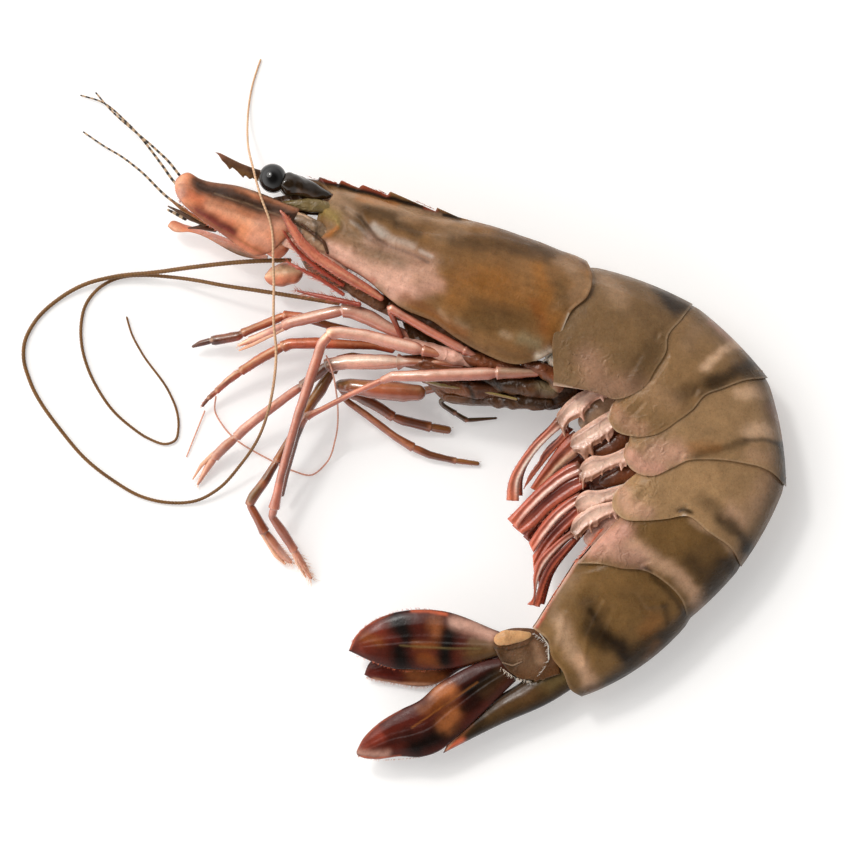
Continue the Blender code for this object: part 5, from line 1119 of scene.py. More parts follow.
def body_shell(name, skin, middles, colours, lining):
    """Close a left half skin into a hollow-bellied body and paint it."""
    rows = len(skin)
    down = np.array((0.0, 0.0, 1.0))
    inside = skin[:, -FLAP_COLUMNS:][:, ::-1]
    thick = np.minimum(SKIN, inside[..., 2:] * 0.6)
    along = unit((skin[:, -1] - skin[:, -3]) * (1, 1, 0))
    # The lower edge is a rounded lip as thick as the plate, with the plate's inner face behind it.
    lips = [skin[:, -1] + along * out * thick[:, 0] - down * depth * thick[:, 0]
            for out, depth in ((0.1, 0.2), (0.1, 0.5), (-0.1, 0.85))]
    inner = inside - down * thick
    roof = inner[:, -1] * (1, 1, 0.5)
    keel = inner[:, -1] * (1, 1, 0.0)
    left = [skin, *[lip[:, None] for lip in lips], inner, roof[:, None]]
    half = np.concatenate(left, axis=1)
    half[:, 0, 2] = 0
    loop = np.concatenate((half, keel[:, None], (half * (1, 1, -1))[:, ::-1]), axis=1)
    # Close each end: the body's skin meets at the mirror plane, and a flap's two faces meet.
    first, last = SKIN_COLUMNS - FLAP_COLUMNS, SKIN_COLUMNS
    for end in (0, -1):
        flat = loop[end].copy()
        flat[:first + 1, 2] = 0
        centre = (skin[end, first:, 2] - thick[end, ::-1, 0] / 2)
        flat[first + 1:last, 2] = centre[1:]
        flat[last:last + 3] = flat[last - 1]
        flat[last + 3:last + 3 + FLAP_COLUMNS] = flat[first:last][::-1]
        flat[last + 3 + FLAP_COLUMNS] = flat[first]
        middle = last + 4 + FLAP_COLUMNS
        flat[middle] = flat[first]
        flat[middle + 1:] = (flat[:middle] * (1, 1, -1))[::-1]
        loop = np.concatenate((flat[None], loop) if end == 0 else (loop, flat[None]))
    middles = np.concatenate((middles[:1], middles, middles[-1:]))
    loop[..., 2] = np.maximum(loop[..., 2] + middles[:, None], 0.0)
    dull = np.ones((rows, FLAP_COLUMNS + 1, 4)) * (*lining, 1.0)
    # The lip under the lower edge is painted at half the edge's colour, as painted shade.
    half_tint = np.concatenate((colours, np.repeat(colours[:, -1:] * 0.5, 3, axis=1), dull), axis=1)
    tints = np.concatenate((half_tint, dull[:, :1], half_tint[:, ::-1]), axis=1)
    tints = np.concatenate((tints[:1], tints, tints[-1:]))
    return wrap(name, loop, tints)


def shield_skin(rows):
    """Work out the head shield's left skin, its colours and its mirror plane."""
    looks = bpy.context.scene.prawn_looks
    table = smooth(CARAPACE_RIBS, evenly(rows))
    rear_top, rear_bottom = np.array(CARAPACE_REAR[0]), np.array(CARAPACE_REAR[-1])
    # Rows between the last rib and the rear rim.
    step = evenly(max(rows // 12, 2) + 1)[1:, None]
    ends = np.hstack((rear_top, rear_bottom, REAR_HALF_WIDTH))
    table = np.vstack((table, table[-1] * (1 - step) + ends * step))
    # The toothed outline is smoothed for the body, and the teeth stand on it alone.
    toothed = np.interp(table[:, 0], *np.array(CREST).T)
    table[:, 1] = np.convolve(np.pad(toothed, 12, mode="edge"), np.full(25, 0.04), "valid")
    teeth = (toothed - table[:, 1])[:, None]
    beak = np.interp(table[:, 2], *np.array(BEAK_EDGE).T)
    table[:, 3] = np.where(table[:, 2] < BEAK_ROOT, beak, table[:, 3])
    top, bottom, wide = table[:, None, 0:2], table[:, None, 2:4], table[:, 4:5]
    straight = top + (bottom - top) * SHARES[None, :, None]
    rear = smooth(CARAPACE_REAR, SHARES)
    bend = rear - (rear_top + (rear_bottom - rear_top) * SHARES[:, None])
    blend = ease((table[:, 0] - BEND_START) / (rear_top[0] - BEND_START))[:, None, None]
    ribs = straight + bend * blend
    span = np.linalg.norm(bottom - top, axis=2)
    depth = SHARES * span
    ribs[..., 1] += teeth * bell(depth, 0, 0.9)
    # A thin blade stands along the back, from the beak to mid shield, and the body starts below it.
    along = table[:, :1]
    crest = looks.crest_height / MM * ease((along - CREST_SPAN[0]) / 3) * ease((CREST_SPAN[1] - along) / 8)
    below = np.clip((depth - crest) / (span - crest), 0, 1)
    half = wide * np.interp(below, SHARES, PROFILE)
    blade = (0.08 + 0.26 * np.clip(depth / np.maximum(crest, 0.1), 0, 1) ** 0.5) * ease(crest / 0.4)
    half = np.maximum(half, np.minimum(blade, depth * 2))
    half[:, 0] = 0
    # A raised rim and a groove inside it follow the rear and the lower margin, but not the beak's.
    relief = relief_of(ribs, SHIELD_RELIEF)
    near_rear = rim_distance(ribs)
    relief += 0.06 * bell(near_rear, 0.4, 0.3) - 0.06 * bell(near_rear, 1.2, 0.5)
    margin = (1 - SHARES) * span
    body = ease((along - BODY_FRONT) / 3)
    relief += body * (0.14 * bell(margin, 0.4, 0.3) - 0.12 * bell(margin, 1.1, 0.4))
    at_skin = np.dstack((ribs, half))
    relief += body * (0.07 * soft_noise(at_skin, 2.6, 5) + 0.03 * soft_noise(at_skin, 0.9, 6))
    colours = paint(at_skin, "shell", MARKS["head_shield"], 0.12)
    pale = 0.2 * bell(near_rear, 0.3, 0.25) + 0.3 * body * bell(margin, 0.3, 0.25)
    colours += (tint("pale") - colours) * pale[..., None]
    wrinkled = 0.25 + 0.6 * relief_of(ribs, SHIELD_WRINKLES)
    return body_skin(ribs, half, relief), np.full(len(ribs), HEAD_MIDDLE), np.dstack((colours, wrinkled))


def ring_front(ring):
    """Front rim of a tail ring, tucked under the rim before it."""
    if ring == 0:
        rim, shared = smooth(FIRST_RIM, SHARES), 1.0
    else:
        rim, shared = smooth(REAR_RIMS[ring - 1], SHARES), SHARED_RIM[ring - 1]
    along = unit(np.gradient(rim, axis=0))
    forward = np.column_stack((along[:, 1], -along[:, 0]))
    if ring:
        # On the back the plate follows the body, not the slant of its own rim.
        ways = (smooth(REAR_RIMS[ring - 2] if ring > 1 else FIRST_RIM, SHARES) - rim,
                rim - smooth(REAR_RIMS[ring], SHARES))
        body = sum(unit(way) for way in ways) / 2
        forward = body + (forward - body) * ease(SHARES[:, None] / 0.4)
    rim = rim + forward * TUCK * (1 - 0.6 * ease((SHARES[:, None] - 0.6) / 0.4))
    if ring:
        corner = np.array(FLAP_CORNERS[ring - 1])
        last = np.flatnonzero(SHARES <= shared)[-1]
        if last + 1 < len(rim):
            part = ease((SHARES[last + 1:, None] - SHARES[last]) / (1 - SHARES[last]))
            rim[last + 1:] = rim[last] * (1 - part) + corner * part
    return rim


def ring_skin(ring, rows):
    """Work out one tail ring's left skin, its colours and its mirror plane."""
    front, rear = ring_front(ring), smooth(REAR_RIMS[ring], SHARES)
    part = evenly(rows)[:, None, None]
    ribs = front * (1 - part) + rear * part
    outward = unit(ribs[:, :1] - ribs[:, -1:])
    swell = BACK_SWELLS[ring] * 4 * part * (1 - part)
    near_rear = rim_distance(ribs)
    from_front = near_rear[:1] - near_rear
    hidden = 1 - ease((from_front - TUCK * 0.7) / 2.2)
    ribs = ribs + outward * ((swell - 0.24 * hidden[..., None]) * (1 - SHARES[None, :, None]) ** 2)
    widths, middles = RING_HALF_WIDTHS[ring], RING_MIDDLES[ring]
    wide = widths[0] + (widths[1] - widths[0]) * part[..., 0] + 0.3 * 4 * part[..., 0] * (1 - part[..., 0])
    flap = ease((SHARES - 0.72) / 0.16)[None]
    half = wide * PROFILE[None] - (0.12 + 0.6 * flap * (ring > 0)) * hidden * ease(SHARES / 0.1)[None]
    half = np.maximum(half, 0)
    half[:, 0] = 0
    relief = relief_of(ribs, RING_RELIEF[ring])
    relief += 0.02 * bell(near_rear, 0.35, 0.28) - 0.03 * bell(near_rear, 1.1, 0.4)
    at_skin = np.dstack((ribs, half))
    side = ease((SHARES - 0.5) / 0.25)[None]
    rough = (0.05 + 0.07 * side) * soft_noise(at_skin, 2.4, 20 + ring)
    rough += 0.03 * soft_noise(at_skin, 0.8, 30 + ring)
    relief += rough * (1 - 0.9 * hidden) * (1 - 0.8 * bell(near_rear, 0, 1))
    base, share = RING_TINTS[ring]
    colours = paint(at_skin, base, MARKS[f"tail_ring_{ring + 1}"], 0.14, 40 + ring, share)
    # The rear edge is pale, paler on the flaps as painted highlight, and painted shade marks the groove
    # before it.
    low = ease((SHARES - 0.3) / 0.3)
    edge = (0.45 - 0.35 * low + 0.4 * flap) * bell(near_rear, 0.12, 0.2)
    colours += (tint("pale") - colours) * edge[..., None]
    groove = 0.1 * low * (1 - flap) * bell(near_rear, 0.7, 0.3)
    colours += (tint("dark") - colours) * groove[..., None]
    # The flaps' lower margin gets a white hem of painted highlight.
    margin = (1 - SHARES)[None] * np.linalg.norm(ribs[:, :1] - ribs[:, -1:], axis=2)
    colours += (tint("petal") - colours) * (0.5 * flap * bell(margin, 0, 0.3))[..., None]
    # Darker along the back of the rear rings: denser pigment there, and painted shade where the back turns
    # from the light.
    back = (0.2, 0.4, 0.65, 0.65, 0.65, 0.7)[ring] * (1 - ease((SHARES - 0.02) / 0.13))[None]
    colours *= (1 - back)[..., None]
    wrinkled = np.broadcast_to(0.2 + 0.8 * side * (ring < 5), near_rear.shape)
    middle = middles[0] + (middles[1] - middles[0]) * evenly(rows)
    return body_skin(ribs, half, relief), middle, np.dstack((colours, wrinkled))


def stepped(skin, middles, colours):
    """Turn the rear rim in by the thickness of the plate."""
    edge = skin[-1:].copy()
    edge[..., 2] = np.maximum(edge[..., 2] - np.minimum(0.07, edge[..., 2] * 0.5), 0)
    support = skin[-1:] * 0.9 + skin[-2:-1] * 0.1
    skin = np.concatenate((skin[:-1], support, skin[-1:], edge))
    return skin, np.append(middles, [middles[-1]] * 2), np.concatenate((colours, colours[-1:], colours[-1:]))


def ribbed_body(name, table, middle):
    """Make the soft body under the shield from straight ribs, with the roots of limbs on it."""
    ribs = smooth(table, evenly(90))
    line = evenly(40)[None, :, None]
    places = ribs[:, None, 0:2] * (1 - line) + ribs[:, None, 2:4] * line
    half = ribs[:, 4:5] * np.interp(evenly(40), (0, 0.06, 0.2, 0.6, 0.9, 1), (0, 0.4, 0.75, 1, 0.7, 0))[None]
    at = np.dstack((places, half))
    half = half * (1 + 0.18 * soft_noise(at, 1.6, 51) + 0.09 * soft_noise(at, 0.7, 52))
    half[[0, -1]] = 0
    half[:, [0, -1]] = 0
    left = np.dstack((places, middle + half))
    right = np.dstack((places, middle - half))[:, ::-1]
    loop = np.concatenate((left, right), axis=1)
    marks = MARKS.get(name, ())
    colours = paint(loop, "flesh", marks, 0.2, 53)
    pieces = [wrap(name + "_skin", loop, np.dstack((colours, np.ones(loop.shape[:2]))))]
    for at, (lump_tint, *route) in enumerate(LIMB_ROOTS[name]):
        points, _ = limb_points(route, step=0.15, sides=32, lumps=0.16, seed=90 + at)
        colours = paint(points, lump_tint, marks, 0.25, 60 + at)
        pieces.append(wrap(name + "_root", points, np.dstack((colours, np.ones(points.shape[:2])))))
    return join(pieces)


# --- limbs and plates ------------------------------------------------------------------
def frames(path):
    """Return the direction along a path and the two directions across it."""
    along = unit(np.gradient(path[:, :3], axis=0))
    flat = unit(np.column_stack((-along[:, 1], along[:, 0], np.zeros(len(along)))))
    return along, flat, np.cross(flat, along)


def limb_points(route, joints=(), step=0.22, sides=18, lumps=0.05, seed=7):
    """Skin a round limb along its route, with flared joints and rounded ends."""
    route = [(*point[:3], point[3], point[4] if len(point) > 4 else point[3]) for point in route]
    count = max(int(length_of(route) / step), 12)
    path = crisp(route, count)
    travelled = length_of(route) * evenly(count)
    wide, thick = np.maximum(path[:, 3], 0.06), np.maximum(path[:, 4], 0.06)
    swell = np.ones(count)
    for joint in joints:
        at = np.argmin(((path[:, :2] - route[joint][:2]) ** 2).sum(1))
        gap = travelled - travelled[at]
        reach = max(wide[at], 0.4)
        swell *= np.where(gap >= 0, 1 + 0.2 * np.exp(-np.abs(gap) / (1.5 * reach)),
                          1 - 0.3 * np.exp(-np.abs(gap) / (0.7 * reach)))
    for gap in (travelled, travelled[::-1]):
        cap = np.clip(gap / np.maximum(wide, 0.1), 0, 1)
        swell *= np.sqrt(np.maximum(1 - (1 - cap) ** 2, 0))
    turns = 2 * math.pi * evenly(sides + 1)
    _, flat, rise = frames(path)
    across = (flat[:, None] * (np.cos(turns)[None, :, None] * wide[:, None, None])
              + rise[:, None] * (np.sin(turns)[None, :, None] * thick[:, None, None]))
    across[:, -1] = across[:, 0]
    points = path[:, None, :3] + across * swell[:, None, None]
    points += across * swell[:, None, None] * lumps * soft_noise(points, 1.3, seed)[..., None]
    points[:, -1] = points[:, 0]
    points[..., 2] = np.maximum(points[..., 2], LIMB_CLEARANCE)
    return points, path


def limb_hairs(name, path):
    """Make hairs that stand out of a limb and lean to its tip."""
    pick = np.random.default_rng(17)
    along, flat, rise = frames(path)
    scale = bpy.context.scene.prawn_looks.hair_length
    roots, tips, colours = [], [], []
    for start, end, count, length, colour in LIMB_HAIRS[name]:
        at = (pick.uniform(start, end, count) * (len(path) - 1)).astype(int)
        turn = pick.uniform(0, 2 * math.pi, count)[:, None]
        out = flat[at] * np.cos(turn) + rise[at] * np.sin(turn) * 0.7
        aim = out * pick.uniform(0.45, 1, (count, 1)) - along[at] * pick.uniform(0.5, 1.1, (count, 1))
        root = path[at, :3] + out * path[at, 3:4] * 0.85
        roots.append(root)
        tips.append(root + aim * (length * scale * pick.uniform(0.5, 1.1, (count, 1))))
        colours.append(np.tile(tint(colour), (count, 1)) * pick.uniform(0.75, 1.2, (count, 1)))
    roots, tips = np.vstack(roots), np.vstack(tips)
    for ends in (roots, tips):
        ends[:, 2] = np.maximum(ends[:, 2], THIN_CLEARANCE)
    return hairs(name + "_hair", roots, tips, np.vstack(colours), radius=0.05)


def make_limb(name, route, base, material, slot, **shape):
    """Build one limb with its second finger and hairs, and dress it."""
    joints = JOINTS.get(name, ())
    points, path = limb_points(route, joints, **shape)
    pale_joints = tuple(("peach", 0.6, 0.3, *route[joint][:2]) for joint in joints)
    colours = paint(points, base, MARKS.get(name, ()) + pale_joints, 0.12)
    # A painted highlight runs along the limb's upper side, and painted shade makes it darker and redder
    # towards its edges.
    across = points - path[:, None, :3]
    painted_light_facing = unit(across) @ np.array(LEG_PAINTED_LIGHT_WAY)
    colours = colours * (0.56 + 1.1 * np.clip(painted_light_facing, 0, 1) ** 5)[..., None] ** (0.5, 1.2, 1.35)
    pieces = [wrap(name + "_shell", points, colours)]
    if name in CLAW_FINGERS:
        finger = [(x + CLAW_FINGERS[name][0] * part, y + CLAW_FINGERS[name][1] * part, z + 0.1, wide * 0.6)
                  for (x, y, z, wide), part in zip(route[:4], (1, 0.9, 0.4, 0))]
        finger, _ = limb_points(finger, step=0.15, sides=12)
        pieces.append(wrap(name + "_finger", finger, paint(finger, "peach")))
    pieces += lumps_of(name, 0.15)
    if name in LIMB_HAIRS:
        pieces.append(limb_hairs(name, path))
    dress(join(pieces), material, slot, name)


def plate_points(name, rows=110, columns=44, thick=0.32, arch=0.5, ribs=(), ragged=0.0):
    """Skin a thin plate between its two edges; ribs run along it at shares of its width."""
    way = evenly(rows) ** 1.15
    left, right = [np.column_stack((smooth(points_of(2, edge[3:]), way),
                                    np.interp(way, (0, 0.5, 1), edge[:3]))) for edge in BLADES[name]]
    torn = ragged * np.maximum(soft_noise(right[:, :2], 0.7, 62), 0)[:, None] ** 1.5 * 2
    torn = torn * unit(right - left)
    share = evenly(columns)[None, :, None]
    middle = left[:, None] * (1 - share) + right[:, None] * share + torn[:, None] * share ** 6
    across = share[..., 0]
    body = np.maximum(1 - np.abs(2 * across - 1) ** 3.5, 0)
    wide = np.linalg.norm(left - right, axis=1)[:, None]
    top = arch * body * np.clip(wide / 5, 0, 1)
    for place, height, half_width in ribs:
        top = top + height * bell((across - place) * wide, 0, half_width) * np.clip(wide / 4, 0, 1)
    top = top + 0.05 * soft_noise(middle, 1.6, 61) * body
    ends = np.sqrt(np.clip(np.minimum(evenly(rows), 1 - evenly(rows)) * 25, 0, 1))[:, None]
    half = thick * (0.3 + 0.7 * body) * np.where((across > 0) & (across < 1), 1, 0) * ends
    upper, lower = middle.copy(), middle.copy()
    upper[..., 2] += top * ends + half
    lower[..., 2] += top * ends * 0.9 - half
    upper[:, [0, -1], 2] = lower[:, [0, -1], 2] = middle[:, [0, -1], 2]
    loop = np.concatenate((upper, lower[:, ::-1]), axis=1)
    tip_row = loop[:1].mean(axis=1, keepdims=True) + np.zeros_like(loop[:1])
    end_row = np.concatenate((middle[-1:], middle[-1:, ::-1]), axis=1)
    loop = np.concatenate((tip_row, loop[1:], end_row))
    loop[..., 2] = np.maximum(loop[..., 2], THIN_CLEARANCE)
    return loop


def lumps_of(name, lumps):
    """Make the soft lumps and threads that grow on a piece."""
    pieces = []
    for lump_tint, *route in LIMB_ROOTS.get(name, ()):
        points, _ = limb_points(route, step=0.12, sides=24, lumps=lumps)
        pieces.append(wrap(name + "_lump", points, paint(points, lump_tint, (), 0.25)))
    return pieces


def make_plate(name, base, material, slot, shade=0.35, **shape):
    """Build one thin plate with its fringe, and dress it."""
    points = plate_points(name, **shape)
    colours = paint(points, base, MARKS.get(name, ()), 0.14)
    pieces = [wrap(name + "_plate", points, colours * edge_shade(points, shade))]
    pieces += lumps_of(name, 0.08)
    if name in EDGE_HAIRS:
        pieces.append(edge_hairs(name))
    dress(join(pieces), material, slot, name)


def plate_shares(points):
    """Shares across a plate of its points' columns, first over its top and then back under it."""
    columns = points.shape[1] // 2
    return np.concatenate((evenly(columns), evenly(columns)[::-1]))


def edge_shade(points, depth, reach=0.35):
    """Paint shade along a plate's two edges, or, with a negative depth, a painted highlight."""
    columns, share = points.shape[1] // 2, plate_shares(points)
    wide = np.linalg.norm(points[:, :1] - points[:, columns - 1:columns], axis=2)
    gap = np.minimum(share, 1 - share)[None] * wide
    return (1 - depth * bell(gap, 0, reach))[..., None]


def swimmer_tints(points, kind, seed):
    """Colour one plate of a swimming leg by its fields, with fine cross ridges on its pale band."""
    base, fields = SWIMMER_FIELDS[kind]
    along = evenly(len(points))[:, None] + 0.05 * soft_noise(points, 1.5, seed)
    across = plate_shares(points)[None] + 0.05 * soft_noise(points, 1.2, seed + 1)
    colours = paint(points, base, (), 0.15, seed)
    for name, strength, middle, reach, place, width in fields:
        weight = strength * bell(along, middle, reach) * bell(across, place, width)
        colours += (tint(name) - colours) * weight[..., None]
    if kind != "stalk":
        # The ridges are about 0.35 mm apart, and are drawn at 0.8 mm so that they show.
        ridges = np.sin(2 * math.pi * evenly(len(points)) * length_of(points[:, 0]) / 0.8)[:, None]
        colours *= (1 + 0.07 * ridges * bell(across, 0.78, 0.2))[..., None]
    return colours


def plate_fringe(name, points, count, length, colour, seed=5):
    """Make hairs along both edges of a plate, leaning to its tip."""
    pick = np.random.default_rng(seed)
    at = (pick.uniform(0.03, 0.75, count) * len(points)).astype(int)
    last = points.shape[1] // 2 - 1
    # Of the two rows of draws, the first picks the edge.
    edge = np.where(pick.uniform(0, 1, (2, count))[0] < 0.5, 0, last)
    roots = points[at, edge]
    aim = unit(roots - points[at, last - edge]) * 0.6
    aim += unit(points[np.maximum(at - 3, 1), edge] - roots) * pick.uniform(0.3, 1, (count, 1))
    length = length * bpy.context.scene.prawn_looks.hair_length
    tips = roots + aim * length * pick.uniform(0.4, 1.1, (count, 1))
    return hairs(name + "_hair", roots, tips, np.tile(tint(colour), (count, 1)), radius=0.035)


# --- materials -------------------------------------------------------------------------
def node(tree, kind, inputs=(), **settings):
    """Add a node with its settings; each input is set to a value or linked to a socket."""
    made = tree.nodes.new(kind)
    for key, value in settings.items():
        setattr(made, key, value)
    for key, value in dict(inputs).items():
        if isinstance(value, bpy.types.NodeSocket):
            tree.links.new(value, made.inputs[key])
        else:
            made.inputs[key].default_value = value
    return made


def noise(tree, place, size_mm, detail=3.0, roughness=0.5):
    """Add soft noise that changes over about size_mm."""
    return node(tree, "ShaderNodeTexNoise", {"Vector": place, "Scale": 1000 / size_mm, "Detail": detail,
                                             "Roughness": roughness}).outputs["Fac"]


def spread(tree, value, low, high, start=0.32, end=0.68):
    """Spread a value that runs from start to end over low to high."""
    settings = {"Value": value, "From Min": start, "From Max": end, "To Min": low, "To Max": high}
    return node(tree, "ShaderNodeMapRange", settings).outputs["Result"]


def tinted_material(name, roughness, coat, speckle=0.15, grain_mm=0.5, bump_mm=0.05, mottle=0.2, glow=0.15,
                    crinkle_mm=0.12, streak=None, ior=1.28):
    """Make a wet natural surface from a piece's vertex tints, with clouds, dots, streaks and wrinkles."""
    material = bpy.data.materials.new(name)
    material.use_nodes = True
    tree = material.node_tree
    shader = tree.nodes["Principled BSDF"]
    place = node(tree, "ShaderNodeTexCoord").outputs["Object"]
    painted = node(tree, "ShaderNodeAttribute", attribute_name="tint").outputs
    lights = [spread(tree, noise(tree, place, 3.2, 8.0, 0.7), 1 - mottle, 1 + mottle, 0.3, 0.7),
              spread(tree, noise(tree, place, 0.7, 4.0, 0.7), 0.9, 1.1)]
    if streak is not None:
        # Faint growth streaks in the shell, about 1 mm wide and 10 mm long.
        turned = node(tree, "ShaderNodeMapping", {"Vector": place, "Rotation": (0.0, 0.0, streak),
                                                  "Scale": (9.0, 1.0, 3.0)}, vector_type="TEXTURE")
        lights.append(spread(tree, noise(tree, turned.outputs["Vector"], 1.1), 0.9, 1.07))
    if speckle:
        # Pigment cells are about 0.1 mm across, and are drawn at 0.4 mm so that they show.
        cells = node(tree, "ShaderNodeTexVoronoi", {"Vector": place, "Scale": 1 / 0.0004}).outputs["Distance"]
        lights.append(spread(tree, cells, 1 - speckle, 1.0, 0.12, 0.42))
    colour = painted["Color"]
    for light in lights:
        colour = node(tree, "ShaderNodeHueSaturation", {"Color": colour, "Value": light}).outputs["Color"]
    tree.links.new(colour, shader.inputs["Base Color"])
    rough = spread(tree, noise(tree, place, 1.8), roughness * 0.75, roughness * 1.3, 0.3, 0.7)
    tree.links.new(rough, shader.inputs["Roughness"])
    # Wrinkles run as ridges about 1.5 mm apart; the tint's fourth channel says where.
    ridges = node(tree, "ShaderNodeTexNoise", {"Vector": place, "Scale": 1 / 0.0015, "Detail": 3.0,
                                               "Distortion": 1.2}, noise_type="RIDGED_MULTIFRACTAL")
    deep = node(tree, "ShaderNodeMath", {0: ridges.outputs["Fac"], 1: painted["Alpha"]},
                operation="MULTIPLY")
    folds = node(tree, "ShaderNodeBump", {"Height": deep.outputs["Value"], "Strength": 0.9,
                                          "Distance": crinkle_mm * MM})
    bump = node(tree, "ShaderNodeBump", {"Height": noise(tree, place, grain_mm, 4.0, 0.6), "Strength": 0.8,
                                         "Distance": bump_mm * MM, "Normal": folds.outputs["Normal"]})
    tree.links.new(bump.outputs["Normal"], shader.inputs["Normal"])
    for socket, value in (("Coat Weight", coat), ("Coat Roughness", 0.14), ("Coat IOR", ior), ("IOR", ior),
                          ("Subsurface Weight", glow), ("Subsurface Radius", (1.0, 0.45, 0.3)),
                          ("Subsurface Scale", 0.0012)):
        shader.inputs[socket].default_value = value
    return material


# --- operators -------------------------------------------------------------------------
class PRAWN_OT_head_shield(bpy.types.Operator):
    """Build the head shield with its toothed beak"""

    bl_idname = "prawn.head_shield"
    bl_label = "Head shield"

    def execute(self, context):
        # Raw chitin shell, wet: smooth, a little translucent, brown-olive with fine pigment dots.
        shell = tinted_material("wet_raw_head_shell", 0.32, 0.0, context.scene.prawn_looks.speckle,
                                grain_mm=0.45, mottle=0.12, crinkle_mm=0.2, streak=SHIELD_TURN, ior=1.2)
        skin, middles, colours = stepped(*shield_skin(230))
        shield = body_shell("head_shield_shell", skin, middles, colours, tint("skin"))
        dress(join([shield, edge_hairs("head_shield")]), shell, "shield_shell", "head_shield")
        return {"FINISHED"}


class PRAWN_OT_tail_rings(bpy.types.Operator):
    """Build the six overlapping shell rings of the tail"""

    bl_idname = "prawn.tail_rings"
    bl_label = "Tail rings"

    def execute(self, context):
        # The same wet chitin, thinner over the side flaps, where pale flesh shows through.
        shell = tinted_material("wet_raw_ring_shell", 0.32, 0.0, context.scene.prawn_looks.speckle,
                                grain_mm=0.45, mottle=0.12, crinkle_mm=0.32, ior=1.24)
        for ring in range(len(REAR_RIMS)):
            name = f"tail_ring_{ring + 1}"
            skin, middles, colours = stepped(*ring_skin(ring, 70))
            pieces = [body_shell(name + "_shell", skin, middles, colours, tint("skin"))]
            if name in EDGE_HAIRS:
                pieces.append(edge_hairs(name))
            dress(join(pieces), shell, "ring_shell", name)
        return {"FINISHED"}


class PRAWN_OT_belly(bpy.types.Operator):
    """Build the skin of the face and the breast that carries the legs"""

    bl_idname = "prawn.belly"
    bl_label = "Face and breast"

    def execute(self, context):
        # Soft wet belly skin and limb roots: dark brown, wrinkled, glossy in spots.
        skin = tinted_material("wet_belly_skin", 0.28, 0.3, speckle=0.1, grain_mm=0.6, bump_mm=0.1,
                               crinkle_mm=0.35, ior=1.33)
        dress(ribbed_body("face", FACE_RIBS, HEAD_MIDDLE), skin, "belly_skin", "face")
        dress(ribbed_body("breast", BREAST_RIBS, BREAST_MIDDLE), skin, "belly_skin", "breast")
        return {"FINISHED"}


class PRAWN_OT_walking_legs(bpy.types.Operator):
    """Build the ten walking legs with their small claws"""

    bl_idname = "prawn.walking_legs"
    bl_label = "Walking legs"

    def execute(self, context):
        # Thin wet leg shell over pale flesh: salmon pink, glossy, with white skin at the joints.
        shell = tinted_material("wet_leg_shell", 0.17, 1.0, speckle=0.1, mottle=0.14, glow=0.1,
                                crinkle_mm=0.06, ior=1.5)
        for name, route in LEGS.items():
            if name.startswith("walking"):
                make_limb(name, route, LIMB_TINTS.get(name, "leg_pink"), shell, "limb_shell")
        return {"FINISHED"}


class PRAWN_OT_mouth_limbs(bpy.types.Operator):
    """Build the two hairy jaw legs and the red limbs at the mouth"""

    bl_idname = "prawn.mouth_limbs"
    bl_label = "Jaw legs and mouth limbs"

    def execute(self, context):
        # Thin red leg shell with stiff red hairs, wet.
        shell = tinted_material("wet_red_limb_shell", 0.24, 0.5, bump_mm=0.06, glow=0.1, ior=1.45)
        for name, route in LEGS.items():
            if name.startswith("jaw"):
                make_limb(name, route, "leg_red", shell, "mouth_red")
        for name, spine in MOUTH_PARTS.items():
            make_limb(name, spine, LIMB_TINTS.get(name, "red"), shell, "mouth_red")
        return {"FINISHED"}


class PRAWN_OT_scales(bpy.types.Operator):
    """Build the two feeler scales and the swollen roots of the long feelers"""

    bl_idname = "prawn.scales"
    bl_label = "Feeler scales"

    def execute(self, context):
        # Thin stiff orange-pink plates with a dark stripe, wet and smooth.
        shell = tinted_material("wet_scale_shell", 0.3, 0.3, speckle=0.12, bump_mm=0.04, mottle=0.12,
                                glow=0.2, streak=0.9)
        ribs = ((0.32, 0.25, 0.35), (0.12, -0.2, 0.4))
        make_plate("antennal_scale_L", "scale", shell, "scale_orange", thick=0.3, arch=0.9, ribs=ribs)
        make_plate("antennal_scale_R", "scale", shell, "scale_orange", thick=0.28, arch=0.2)
        for name, route in FEELER_ROOTS.items():
            make_limb(name, route, "peach", shell, "scale_orange", sides=32, lumps=0.12)
        return {"FINISHED"}


